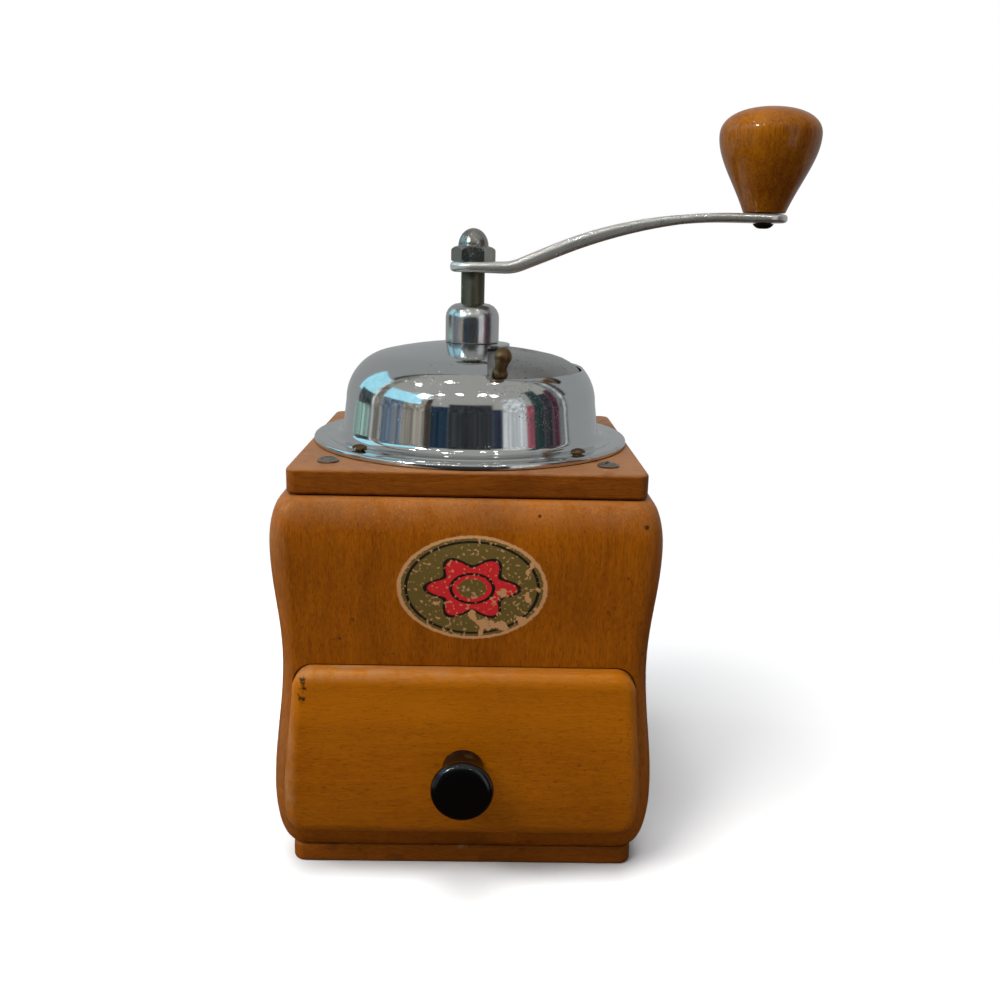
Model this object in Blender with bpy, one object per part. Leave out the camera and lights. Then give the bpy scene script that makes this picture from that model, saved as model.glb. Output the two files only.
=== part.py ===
"""A box coffee mill, built piece by piece as closed solids, in metres, +Z up.

The origin is the middle of the plinth's underside. The drawer faces -Y and
the crank points along +X at rest. Every piece has its own object. Each moving
body has an empty on its joint's axis, and its pieces are that empty's children.
"""

import bpy
import bmesh
from math import asin, cos, degrees, pi, radians, sin, sqrt
from mathutils import Matrix, Vector

# Clearances and overruns
GAP = 0.0003
RUNNING_CLEARANCE = 0.0001
OVERRUN = 0.002
WELD_DISTANCE = 0.000001

# Facets of round pieces
DOME_SEGMENTS = 44
LARGE_SEGMENTS = 28
MEDIUM_SEGMENTS = 20
SMALL_SEGMENTS = 10
ARC_STEPS = 4
BODY_CURVE_STEPS = 5
BODY_WAVE_STEPS = 12
DRAWER_FRONT_STEPS = 7
CROWN_STEPS = 2
SHOULDER_STEPS = 6
WINDOW_STEPS = 18
ARM_BEND_STEPS = 4
ARM_SWEEP_STEPS = 10
ARM_END_STEPS = 6
KNOB_STEPS = 8
BURR_CONE_STEPS = 6
BURR_RING_STEPS = 5
SMOOTH_ANGLE = radians(32)

# Body: four boards, waisted, with rounded upright corners
BODY_HEIGHT = 0.1173
BODY_WIDTH = 0.1214
BODY_CORNER = 0.006
WAIST_DEPTH = 0.0030
UPPER_BULGE_INSET = 0.0005
SHOULDER_RUN = 0.0049
FOOT_RUN = 0.0055
BODY_WALL = 0.0127
CAVITY_WIDTH = BODY_WIDTH - BODY_WALL * 2
LOWER_BULGE_SHARE = 0.176
WAIST_SHARE = 0.551
UPPER_BULGE_SHARE = 0.870

# Plinth
PLINTH_INSET = 0.0049
PLINTH_WIDTH = BODY_WIDTH - PLINTH_INSET * 2
PLINTH_HEIGHT = 0.0066
PLINTH_CORNER = 0.004
PLINTH_EDGE = 0.0012

# Top board, its corner screws and the blocks that they hold in
PLATE_INSET = 0.0057
PLATE_WIDTH = BODY_WIDTH - PLATE_INSET * 2
PLATE_THICKNESS = 0.008
PLATE_CORNER = 0.0035
PLATE_HOLE_LEDGE = 0.0082
CORNER_SCREW_INSET = 0.0115
CORNER_SCREW_HEAD_RADIUS = 0.0034
CORNER_SCREW_HEAD_HEIGHT = 0.0013
CORNER_SCREW_SHANK_RADIUS = 0.0018
CORNER_SCREW_LENGTH = 0.022
CORNER_SCREW_TURNS = (18, 64, -12, 40)
CORNER_BLOCK_WIDTH = 0.0135
CORNER_BLOCK_HEIGHT = 0.030
SLOT_WIDTH = 0.0007
SLOT_DEPTH = 0.0007

# Hopper dome, a sheet pressing with a flange, a rim and a half-moon window
FLANGE_INSET = 0.0008
FLANGE_WIDTH = 0.010
FLANGE_RADIUS = PLATE_WIDTH / 2 - FLANGE_INSET
DOME_FLARE = 0.0011
DOME_FOOT_RADIUS = FLANGE_RADIUS - FLANGE_WIDTH
DOME_WALL_RADIUS = DOME_FOOT_RADIUS - DOME_FLARE
DOME_HEIGHT = 0.03405
DOME_CROWN_RADIUS = 0.132
DOME_SHOULDER_RADIUS = 0.017
DOME_SHEET = 0.0008
FLANGE_HEIGHT = 0.0024
FLANGE_FILLET = 0.003
RIM_WIDTH = 0.0009
RIM_ROUND = 0.0008
WINDOW_DEPTH = 0.004
WINDOW_MARGIN = 0.0046
WINDOW_INNER_RADIUS = 0.013
WINDOW_OUTER_RADIUS = DOME_WALL_RADIUS - WINDOW_MARGIN
WINDOW_EDGE = 0.0053
FLANGE_SCREW_HEAD_RADIUS = 0.0024
FLANGE_SCREW_HEAD_HEIGHT = 0.0012
FLANGE_SCREW_SHANK_RADIUS = 0.0013
FLANGE_SCREW_LENGTH = 0.0075
FLANGE_SCREW_TURNS = (25, -30, 75, 10)

# Shutter under the dome, and its knob
SHUTTER_GAP = 0.0006
SHUTTER_SHEET = 0.0007
SHUTTER_SKIRT = 0.00105
SHUTTER_EDGE = 0.0016
SHUTTER_HUB_RADIUS = 0.0112
SHUTTER_KNOB_MARGIN = 0.0035
SHUTTER_KNOB_RADIUS = WINDOW_OUTER_RADIUS - SHUTTER_KNOB_MARGIN
SHUTTER_KNOB_ANGLE = radians(15)
SHUTTER_KNOB_LEAN = radians(28)
SHUTTER_KNOB_BASE_RADIUS = 0.0027
SHUTTER_KNOB_NECK_RADIUS = 0.0017
SHUTTER_KNOB_BALL_RADIUS = 0.0029
SHUTTER_KNOB_LENGTH = 0.0124
SHUTTER_KNOB_NECK = 0.0036
SHUTTER_KNOB_BASE = 0.0016
SHUTTER_RIVET_RADIUS = 0.0012
SHUTTER_RIVET_HEAD_RADIUS = 0.0022
SHUTTER_RIVET_HEAD = 0.0008
SHUTTER_RIVET_DROP = 0.0006

# Spindle, its sleeve and the bell over the sleeve
SPINDLE_RADIUS = 0.004
SLEEVE_WALL = 0.0009
SLEEVE_FLANGE_RADIUS = 0.0085
SLEEVE_FLANGE = 0.0014
SLEEVE_RISE = 0.0075
BELL_RADIUS = 0.00915
BELL_HEIGHT = 0.0124
BELL_SHOULDER = 0.0048
SPINDLE_STANDOUT = 0.0104
SPINDLE_FLAT = 0.0066

# Crank arm, cap nut and handle
CRANK_RADIUS = 0.0973
ARM_WIDTH = 0.0156
ARM_WAIST_WIDTH = 0.0126
ARM_HUB_THICKNESS = 0.0034
ARM_END_THICKNESS = 0.0028
ARM_BEND_START = 0.0065
ARM_BEND_RADIUS = 0.030
ARM_RISE_ANGLE = radians(25.2)
ARM_FLAT_LENGTH = 0.0107
NUT_FLATS = 0.013
NUT_HEX_HEIGHT = 0.0050
NUT_CHAMFER = 0.0009
NUT_SHOULDER = 0.0012
NUT_ACORN_RADIUS = 0.0051
NUT_ACORN_HEIGHT = 0.0057
HANDLE_PIN_RADIUS = 0.0026
HANDLE_PIN_HEAD_RADIUS = 0.0034
HANDLE_PIN_HEAD = 0.0016
HANDLE_WASHER_RADIUS = 0.0054
HANDLE_WASHER = 0.0007
KNOB_BELLY = 0.0235
KNOB_CROWN = 0.0090
KNOB_RADIUS = 0.0170
KNOB_FOOT_RADIUS = 0.0069
KNOB_TOP_SEAT_RADIUS = 0.0044
KNOB_TOP_SEAT_DEPTH = 0.0014

# Grinding works
HOUSING_FLANGE = 0.003
HOUSING_WALL = 0.003
HOUSING_SCREW_MARGIN = 0.005
HOUSING_SCREW_HEAD_RADIUS = 0.0027
HOUSING_SCREW_HEAD_HEIGHT = 0.0014
HOUSING_SCREW_SHANK_RADIUS = 0.0014
HOUSING_SCREW_BITE = 0.006
FUNNEL_DEPTH = 0.0202
BRIDGE_LEDGE = 0.006
THROAT_LIP = 0.002
THROAT_LIP_WIDTH = 0.0019
BURR_RADIUS = 0.0157
BURR_TAPER_SHARE = 0.326
BURR_RING_HEIGHT = 0.0177
BURR_CONE_HEIGHT = 0.019
BURR_CLEARANCE = 0.0010
BURR_TOOTH = 0.0012
BURR_RING_WALL = 0.0013
BURR_CONE_TEETH = 13
BURR_RING_TEETH = 16
BURR_CONE_TWIST = radians(34)
BURR_RING_TWIST = radians(-22)
BURR_CONE_RISE = 0.0018
BURR_PIN_RADIUS = 0.0012
BURR_PIN_LENGTH = 0.0135
BURR_PIN_SEAT = 0.0006
UPPER_BRIDGE_WIDTH = 0.012
UPPER_BRIDGE_THICKNESS = 0.0026
UPPER_BOSS_RADIUS = 0.0085
UPPER_BOSS_LENGTH = 0.009
UPPER_BUSH_WALL = 0.0018
UPPER_BUSH_FLANGE_RADIUS = 0.0075
UPPER_BUSH_FLANGE = 0.0012
BRIDGE_SCREW_HEAD_RADIUS = 0.0026
BRIDGE_SCREW_HEAD_HEIGHT = 0.0014
BRIDGE_SCREW_SHANK_RADIUS = 0.0014
BRIDGE_SCREW_INSET = 0.0022
LOWER_BRIDGE_THICKNESS = 0.003
LOWER_BRIDGE_MARGIN = 0.005
LOWER_BRIDGE_BAR = 0.009
LOWER_BOSS_RADIUS = 0.0072
LOWER_BOSS_LENGTH = 0.0077

# Grind adjustment under the spindle
ADJUST_LIFT = 0.001
ADJUST_SCREW_RADIUS = 0.004
ADJUST_CUP_RADIUS = 0.0029
ADJUST_CUP_DEPTH = 0.0018
ADJUST_HEAD_RADIUS = 0.009
ADJUST_HEAD = 0.004
ADJUST_HEAD_LOBES = 6
ADJUST_LOBE_DEPTH = 0.0012
LOCK_NUT_FLATS = 0.013
LOCK_NUT_HEIGHT = 0.0044
THRUST_BALL_RADIUS = 0.0025

# Drawer and its runners
DRAWER_FRONT_BASE = 0.0091
DRAWER_FRONT_HEIGHT = 0.0547
DRAWER_INSET = 0.0044
DRAWER_PROUD = 0.0060
DRAWER_EDGE = 0.0040
DRAWER_CORNER = 0.0055
DRAWER_SEAT_WALL = 0.008
DRAWER_CLEARANCE = 0.0004
DRAWER_SIDE_CLEARANCE = 0.0006
DRAWER_HEADROOM = 0.0018
DRAWER_SIDE = 0.006
DRAWER_FLOOR = 0.003
DRAWER_FLOOR_RISE = 0.0015
DRAWER_BACK_ROOM = 0.005
RAIL_HEIGHT = 0.0105
RUNNER_WIDTH = 0.010
DRAWER_KNOB_RISE = 0.0247
DRAWER_KNOB_RADIUS = 0.0095
DRAWER_KNOB_FACE_RADIUS = 0.0082
DRAWER_KNOB_NECK_RADIUS = 0.0060
DRAWER_KNOB_LENGTH = 0.0156
DRAWER_KNOB_DISC = 0.0045
DRAWER_KNOB_EDGE = 0.0015
DRAWER_KNOB_FLARE = 0.0012
DRAWER_SCREW_SHANK_RADIUS = 0.0018
DRAWER_SCREW_HEAD_RADIUS = 0.0038
DRAWER_SCREW_HEAD = 0.0016
DRAWER_SCREW_BITE = 0.009

# Finishes: colour, metallic, roughness
HONEY_WOOD = ((0.55, 0.25, 0.06), 0.0, 0.32)
TOP_WOOD = ((0.42, 0.15, 0.04), 0.0, 0.40)
PLAIN_WOOD = ((0.60, 0.40, 0.20), 0.0, 0.60)
CHROME = ((0.72, 0.73, 0.74), 1.0, 0.10)
DULL_CHROME = ((0.45, 0.45, 0.43), 1.0, 0.34)
NICKEL = ((0.55, 0.54, 0.52), 1.0, 0.25)
DARK_STEEL = ((0.16, 0.15, 0.13), 1.0, 0.45)
BRIGHT_STEEL = ((0.50, 0.50, 0.50), 1.0, 0.30)
CAST_IRON = ((0.09, 0.09, 0.09), 0.9, 0.60)
BRASS = ((0.45, 0.30, 0.12), 1.0, 0.40)
OLD_BRASS = ((0.22, 0.13, 0.06), 1.0, 0.45)
BLACK_KNOB = ((0.012, 0.012, 0.013), 0.0, 0.16)

# Levels of the wooden case
BODY_BOTTOM = PLINTH_HEIGHT + GAP
BODY_TOP = BODY_BOTTOM + BODY_HEIGHT
PLATE_BOTTOM = BODY_TOP + GAP
PLATE_TOP = PLATE_BOTTOM + PLATE_THICKNESS
CAVITY_HALF = CAVITY_WIDTH / 2
PLATE_HOLE_RADIUS = DOME_FOOT_RADIUS - PLATE_HOLE_LEDGE
SCREW_CORNER = PLATE_WIDTH / 2 - CORNER_SCREW_INSET
FLANGE_SCREW_CIRCLE = (DOME_FOOT_RADIUS + FLANGE_RADIUS) / 2
CORNER_SIGNS = ((-1, -1), (1, -1), (1, 1), (-1, 1))
CORNER_NAMES = ("front_left", "front_right", "back_right", "back_left")

# Levels and radii of the dome, shutter, sleeve and bell
SLEEVE_RADIUS = SPINDLE_RADIUS + RUNNING_CLEARANCE + SLEEVE_WALL
DOME_BORE_RADIUS = SLEEVE_RADIUS + GAP
CROWN_LEVEL = PLATE_TOP + DOME_HEIGHT
SHUTTER_OFFSET = DOME_SHEET + SHUTTER_GAP
BELL_BOTTOM = CROWN_LEVEL + GAP
BELL_TOP = BELL_BOTTOM + BELL_HEIGHT
ARM_LEVEL = BELL_TOP + SPINDLE_STANDOUT
NUT_LEVEL = ARM_LEVEL + ARM_HUB_THICKNESS + GAP

# Levels and radii of the grinding works, from the top board down
HOUSING_TOP = PLATE_BOTTOM - GAP
HOUSING_SCREW_CIRCLE = PLATE_HOLE_RADIUS + HOUSING_SCREW_MARGIN
HOUSING_FLANGE_RADIUS = HOUSING_SCREW_CIRCLE + HOUSING_SCREW_MARGIN
MOUTH_RADIUS = PLATE_HOLE_RADIUS - BRIDGE_LEDGE
BURR_RING_RADIUS = BURR_RADIUS + BURR_CLEARANCE + BURR_TOOTH + BURR_RING_WALL
BURR_SEAT_RADIUS = BURR_RING_RADIUS + GAP
THROAT_RADIUS = BURR_SEAT_RADIUS - THROAT_LIP_WIDTH
LIP_TOP = HOUSING_TOP - FUNNEL_DEPTH
LIP_BOTTOM = LIP_TOP - THROAT_LIP
BURR_RING_TOP = LIP_BOTTOM - GAP
BURR_RING_BOTTOM = BURR_RING_TOP - BURR_RING_HEIGHT
HOUSING_BOTTOM = BURR_RING_BOTTOM
HOUSING_BARREL_RADIUS = BURR_SEAT_RADIUS + HOUSING_WALL
HOUSING_FOOT_RADIUS = HOUSING_BARREL_RADIUS + LOWER_BRIDGE_MARGIN
LOWER_BRIDGE_TOP = HOUSING_BOTTOM - GAP
LOWER_BRIDGE_BOTTOM = LOWER_BRIDGE_TOP - LOWER_BRIDGE_THICKNESS
LOWER_SCREW_CIRCLE = (HOUSING_BARREL_RADIUS + HOUSING_FOOT_RADIUS) / 2
LOWER_RING_RADIUS = BURR_RADIUS + BURR_CLEARANCE
LOWER_BOSS_BOTTOM = LOWER_BRIDGE_TOP - LOWER_BOSS_LENGTH
BURR_CONE_BOTTOM = LOWER_BRIDGE_TOP + BURR_CONE_RISE
BURR_CONE_TOP = BURR_CONE_BOTTOM + BURR_CONE_HEIGHT
BURR_PIN_LEVEL = BURR_CONE_TOP + BURR_PIN_RADIUS - BURR_PIN_SEAT
SPINDLE_BOTTOM = BURR_CONE_BOTTOM - GAP
BALL_CENTRE = SPINDLE_BOTTOM - GAP - THRUST_BALL_RADIUS
ADJUST_CUP_FLOOR = BALL_CENTRE - THRUST_BALL_RADIUS - GAP
ADJUST_SCREW_TOP = ADJUST_CUP_FLOOR + ADJUST_CUP_DEPTH
LOCK_NUT_TOP = LOWER_BOSS_BOTTOM - GAP
LOCK_NUT_BOTTOM = LOCK_NUT_TOP - LOCK_NUT_HEIGHT
ADJUST_HEAD_TOP = LOCK_NUT_BOTTOM - ADJUST_LIFT - GAP
ADJUST_HEAD_BOTTOM = ADJUST_HEAD_TOP - ADJUST_HEAD
UPPER_BRIDGE_BOTTOM = HOUSING_TOP + GAP
UPPER_BRIDGE_TOP = UPPER_BRIDGE_BOTTOM + UPPER_BRIDGE_THICKNESS
UPPER_BOSS_TOP = UPPER_BRIDGE_TOP + GAP
UPPER_BOSS_BOTTOM = UPPER_BRIDGE_TOP - UPPER_BOSS_LENGTH
UPPER_BUSH_RADIUS = SPINDLE_RADIUS + RUNNING_CLEARANCE + UPPER_BUSH_WALL
UPPER_SCREW_PLACE = MOUTH_RADIUS + BRIDGE_SCREW_INSET

# Levels and widths of the drawer
DRAWER_FRONT_BOTTOM = BODY_BOTTOM + DRAWER_FRONT_BASE
DRAWER_FRONT_TOP = DRAWER_FRONT_BOTTOM + DRAWER_FRONT_HEIGHT
DRAWER_SEAT = CAVITY_HALF + DRAWER_SEAT_WALL
DRAWER_BACK_FACE = DRAWER_SEAT + GAP
RAIL_TOP = BODY_BOTTOM + RAIL_HEIGHT
DRAWER_BOX_BOTTOM = RAIL_TOP + GAP
DRAWER_BOX_TOP = ADJUST_HEAD_BOTTOM - DRAWER_HEADROOM
RUNNER_HALF = CAVITY_HALF - GAP
DRAWER_OPENING_HALF = CAVITY_HALF - DRAWER_SIDE_CLEARANCE
DRAWER_BOX_HALF = DRAWER_OPENING_HALF - DRAWER_SIDE_CLEARANCE
DRAWER_INNER_HALF = DRAWER_BOX_HALF - DRAWER_SIDE
DRAWER_BOX_FRONT = DRAWER_SEAT
DRAWER_BOX_BACK = CAVITY_HALF - DRAWER_BACK_ROOM
DRAWER_KNOB_LEVEL = DRAWER_FRONT_BOTTOM + DRAWER_KNOB_RISE


def clear_scene():
    """Remove whatever the file opened with."""
    for thing in list(bpy.data.objects):
        bpy.data.objects.remove(thing, do_unlink=True)


def pivot(name, place=(0, 0, 0), parent=None):
    """An empty on a joint's axis, or at the case's origin."""
    empty = bpy.data.objects.new(name, None)
    empty.empty_display_size = PLATE_WIDTH
    bpy.context.scene.collection.objects.link(empty)
    empty.parent = parent
    empty.location = place
    return empty


def finish_material(name, finish):
    """A Principled material in one of the finishes above."""
    colour, metallic, roughness = finish
    material = bpy.data.materials.new(name + "_finish")
    material.use_nodes = True
    shader = material.node_tree.nodes["Principled BSDF"]
    shader.inputs["Base Color"].default_value = (*colour, 1)
    shader.inputs["Metallic"].default_value = metallic
    shader.inputs["Roughness"].default_value = roughness
    material.diffuse_color = (*colour, 1)
    return material


def make_object(name, bm, parent):
    """Turn a finished bmesh into an object under a pivot."""
    bmesh.ops.recalc_face_normals(bm, faces=bm.faces)
    mesh = bpy.data.meshes.new(name)
    bm.to_mesh(mesh)
    bm.free()
    thing = bpy.data.objects.new(name, mesh)
    bpy.context.scene.collection.objects.link(thing)
    thing.parent = parent
    return thing


def piece(name, bm, finish, parent):
    """One real piece of the mill."""
    thing = make_object(name, bm, parent)
    thing.data.shade_smooth()
    thing.data.set_sharp_from_angle(angle=SMOOTH_ANGLE)
    thing.data.materials.append(finish_material(name, finish))
    return thing


def cutter(name, bm, parent):
    """A shape that only cuts others."""
    thing = make_object("cut_" + name, bm, parent)
    thing.hide_render = True
    thing.display_type = 'WIRE'
    return thing


def combine(thing, tool, operation='DIFFERENCE'):
    """Cut, join or trim a piece with a cutter."""
    boolean = thing.modifiers.new(tool.name, 'BOOLEAN')
    boolean.operation = operation
    boolean.solver = 'EXACT'
    boolean.object = tool


def round_edges(thing, width, segments=2):
    """Round a piece's sharp edges."""
    bevel = thing.modifiers.new("edges", 'BEVEL')
    bevel.width = width
    bevel.segments = segments
    bevel.limit_method = 'ANGLE'


def arc(centre, radius, start, end, steps=ARC_STEPS):
    """Points on an arc, from one angle in degrees to another, both included."""
    points = []
    for step in range(steps + 1):
        angle = radians(start + (end - start) * step / steps)
        points.append((centre[0] + radius * cos(angle), centre[1] + radius * sin(angle)))
    return points


def rounded_outline(half_x, half_y, radius):
    """A rectangle round the origin with rounded corners."""
    x = half_x - radius
    y = half_y - radius
    corners = ((x, y, 0), (-x, y, 90), (-x, -y, 180), (x, -y, 270))
    points = []
    for corner_x, corner_y, start in corners:
        points += arc((corner_x, corner_y), radius, start, start + 90)
    return points


def box_outline(low_x, low_y, high_x, high_y):
    """The four corners of a rectangle."""
    return [(low_x, low_y), (high_x, low_y), (high_x, high_y), (low_x, high_y)]


def at_level(outline, level):
    """Lift a flat outline to a level."""
    return [(x, y, level) for x, y in outline]


def lofted(rings):
    """Bridge rings of points, each with as many, and close both ends."""
    bm = bmesh.new()
    loops = []
    for ring in rings:
        verts = [bm.verts.new(point) for point in ring]
        loops.append([bm.edges.new((verts[i - 1], verts[i])) for i in range(len(verts))])
    for lower, upper in zip(loops, loops[1:]):
        bmesh.ops.bridge_loops(bm, edges=lower + upper)
    bmesh.ops.edgeloop_fill(bm, edges=loops[0])
    bmesh.ops.edgeloop_fill(bm, edges=loops[-1])
    return bm


def prism(outline, bottom, top):
    """A flat outline raised between two levels."""
    return lofted([at_level(outline, bottom), at_level(outline, top)])


def turned(outline, segments, closed=True):
    """Spin an outline of (radius, height) points about Z.

    A closed outline makes a ring; an open one starts and ends on the axis.
    """
    bm = bmesh.new()
    verts = [bm.verts.new((radius, 0, height)) for radius, height in outline]
    first = 0 if closed else 1
    edges = [bm.edges.new((verts[i - 1], verts[i])) for i in range(first, len(verts))]
    bmesh.ops.spin(bm, geom=verts + edges, cent=(0, 0, 0), axis=(0, 0, 1), angle=2 * pi,
                   steps=segments, use_merge=True)
    bmesh.ops.remove_doubles(bm, verts=bm.verts, dist=WELD_DISTANCE)
    return bm


def add_cylinder(bm, place, radius, bottom, top, segments=SMALL_SEGMENTS):
    """Add an upright closed cylinder to a bmesh."""
    middle = Matrix.Translation((place[0], place[1], (bottom + top) / 2))
    bmesh.ops.create_cone(bm, cap_ends=True, segments=segments, radius1=radius,
                          radius2=radius, depth=top - bottom, matrix=middle)


def cylinders(places, radius, bottom, top, segments=SMALL_SEGMENTS):
    """Several upright cylinders in one bmesh."""
    bm = bmesh.new()
    for place in places:
        add_cylinder(bm, place, radius, bottom, top, segments)
    return bm


def hexagon(flats, turn=0):
    """A hexagon of the given width across flats, with two flats facing along Y."""
    radius = flats / sqrt(3)
    return arc((0, 0), radius, turn, turn + 300, 5)


def on_circle(radius, angle):
    """A place on a circle round the spindle, at an angle in degrees from +X."""
    return (radius * cos(radians(angle)), radius * sin(radians(angle)))


def body_half(level):
    """Half the body's width at a level: foot, two bulges, waist and shoulder."""
    lower = BODY_BOTTOM + BODY_HEIGHT * LOWER_BULGE_SHARE
    waist = BODY_BOTTOM + BODY_HEIGHT * WAIST_SHARE
    upper = BODY_BOTTOM + BODY_HEIGHT * UPPER_BULGE_SHARE
    lower_half = BODY_WIDTH / 2
    waist_half = lower_half - WAIST_DEPTH
    upper_half = lower_half - UPPER_BULGE_INSET
    if level <= lower:
        share = (lower - level) / (lower - BODY_BOTTOM)
        return lower_half - FOOT_RUN * (1 - sqrt(max(0, 1 - share * share)))
    if level <= waist:
        share = (level - lower) / (waist - lower)
        return lower_half + (waist_half - lower_half) * (1 - cos(pi * share)) / 2
    if level <= upper:
        share = (upper - level) / (upper - waist)
        return upper_half + (waist_half - upper_half) * (1 - cos(pi * share)) / 2
    share = (level - upper) / (BODY_TOP - upper)
    return upper_half - SHOULDER_RUN * (1 - sqrt(max(0, 1 - share * share)))


def rounded_levels(bottom, low, high, top, end_steps, middle_steps):
    """Levels from bottom to top: even from low to high, and closer towards both ends."""
    shares = [sin(pi / 2 * i / end_steps) for i in range(end_steps + 1)]
    lower = [low - (low - bottom) * share for share in reversed(shares[1:])]
    middle = [low + (high - low) * i / middle_steps for i in range(middle_steps + 1)]
    upper = [high + (top - high) * share for share in shares[1:]]
    return lower + middle + upper


def body_levels():
    """Levels for the body's sections, closer where it turns in."""
    lower = BODY_BOTTOM + BODY_HEIGHT * LOWER_BULGE_SHARE
    upper = BODY_BOTTOM + BODY_HEIGHT * UPPER_BULGE_SHARE
    return rounded_levels(BODY_BOTTOM, lower, upper, BODY_TOP, BODY_CURVE_STEPS, BODY_WAVE_STEPS)


def face_board_outline(level, side):
    """The front (side -1) or back (side 1) board's section, with its two rounded corners."""
    half = body_half(level)
    centre = half - BODY_CORNER
    points = [(-half, side * CAVITY_HALF)]
    points += arc((-centre, side * centre), BODY_CORNER, 180, 180 - side * 90)
    points += arc((centre, side * centre), BODY_CORNER, side * 90, 0)
    points.append((half, side * CAVITY_HALF))
    return points


def side_board_outline(level, side):
    """The left (side -1) or right (side 1) board's section, between front and back."""
    half = body_half(level)
    reach = CAVITY_HALF - GAP
    return box_outline(side * half, -reach, side * CAVITY_HALF, reach)


def drawer_front_half(level, clearance=0):
    """Half the drawer front's width at a level, which follows the body's side."""
    top = DRAWER_FRONT_TOP + clearance
    bottom = DRAWER_FRONT_BOTTOM - clearance
    radius = DRAWER_CORNER
    reach = max(level - (top - radius), (bottom + radius) - level, 0)
    corner = radius - sqrt(max(0, radius * radius - reach * reach))
    return body_half(level) - DRAWER_INSET + clearance - corner


def drawer_front_face(level):
    """How far forward the drawer front reaches at a level, with its rounded edges."""
    reach = max(level - (DRAWER_FRONT_TOP - DRAWER_EDGE),
                (DRAWER_FRONT_BOTTOM + DRAWER_EDGE) - level, 0)
    edge = DRAWER_EDGE - sqrt(max(0, DRAWER_EDGE * DRAWER_EDGE - reach * reach))
    return body_half(level) + DRAWER_PROUD - edge


def drawer_front_levels(clearance=0):
    """Levels for the drawer front's sections, closer at its rounded ends."""
    top = DRAWER_FRONT_TOP + clearance
    bottom = DRAWER_FRONT_BOTTOM - clearance
    return rounded_levels(bottom, bottom + DRAWER_CORNER, top - DRAWER_CORNER, top,
                          BODY_CURVE_STEPS, DRAWER_FRONT_STEPS)


def drawer_front_outline(level):
    """The drawer front's section at a level: flat back, face rounded at both sides."""
    half = drawer_front_half(level)
    face = drawer_front_face(level)
    radius = min(DRAWER_EDGE, face - DRAWER_BACK_FACE)
    points = [(half, -DRAWER_BACK_FACE), (-half, -DRAWER_BACK_FACE)]
    points += arc((radius - half, radius - face), radius, 180, 270)
    points += arc((half - radius, radius - face), radius, 270, 360)
    return points


def skin_centre(offset):
    """Middle of the dome's shoulder arc, and the radius at which the crown meets it."""
    run = DOME_WALL_RADIUS - DOME_SHOULDER_RADIUS
    reach = DOME_CROWN_RADIUS - DOME_SHOULDER_RADIUS
    level = CROWN_LEVEL - DOME_CROWN_RADIUS + sqrt(reach * reach - run * run)
    meet = (DOME_CROWN_RADIUS - offset) * run / reach
    return run, level, meet


def skin_level(radius, offset=0):
    """Level of a skin that lies an offset under the dome's outside, at a radius."""
    run, level, meet = skin_centre(offset)
    if radius <= meet:
        crown = DOME_CROWN_RADIUS - offset
        return CROWN_LEVEL - DOME_CROWN_RADIUS + sqrt(crown * crown - radius * radius)
    shoulder = DOME_SHOULDER_RADIUS - offset
    return level + sqrt(max(0, shoulder * shoulder - (radius - run) * (radius - run)))


def skin_outline(start, offset):
    """Crown and shoulder of that skin, as (radius, level) points from the middle out."""
    run, level, meet = skin_centre(offset)
    points = []
    for i in range(CROWN_STEPS):
        radius = start + (meet - start) * i / CROWN_STEPS
        points.append((radius, skin_level(radius, offset)))
    lean = degrees(asin(run / (DOME_CROWN_RADIUS - DOME_SHOULDER_RADIUS)))
    points += arc((run, level), DOME_SHOULDER_RADIUS - offset, 90 - lean, 0, SHOULDER_STEPS)
    return points


def dome_outline():
    """The dome's sheet in section: skin, foot fillet, flange and rim, out and back."""
    top = PLATE_TOP + FLANGE_HEIGHT
    under = top - DOME_SHEET
    fillet_level = top + FLANGE_FILLET
    fillet_radius = DOME_FOOT_RADIUS + FLANGE_FILLET
    rim_inner = FLANGE_RADIUS - RIM_WIDTH
    outer = skin_outline(DOME_BORE_RADIUS, 0)
    outer += arc((fillet_radius, fillet_level), FLANGE_FILLET, 180, 270, 3)
    outer += arc((FLANGE_RADIUS - RIM_ROUND, top - RIM_ROUND), RIM_ROUND, 90, 0, 2)
    outer.append((FLANGE_RADIUS, PLATE_TOP + GAP))
    inner = skin_outline(DOME_BORE_RADIUS, DOME_SHEET)
    inner += arc((fillet_radius, fillet_level), FLANGE_FILLET + DOME_SHEET, 180, 270, 3)
    inner += [(rim_inner, under), (rim_inner, PLATE_TOP + GAP)]
    return outer + inner[::-1]


def half_moon(inner_radius, outer_radius, edge):
    """Half a ring to the right of x = edge, seen from above."""
    outer_end = degrees(asin(edge / outer_radius))
    inner_end = degrees(asin(edge / inner_radius))
    points = arc((0, 0), outer_radius, outer_end - 90, 90 - outer_end, WINDOW_STEPS)
    points += arc((0, 0), inner_radius, 90 - inner_end, inner_end - 90, WINDOW_STEPS)
    return points


def screw_outline(head_radius, head_height, shank_radius, length):
    """A domed head over a pointed shank, its seat at level 0."""
    edge = head_height / 3
    tip = shank_radius * 2
    points = [(0, head_height)]
    points += [(head_radius * 2 / 3, head_height * 3 / 4), (head_radius, edge), (head_radius, 0)]
    points += [(shank_radius, 0), (shank_radius, tip - length), (0, -length)]
    return points


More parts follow.
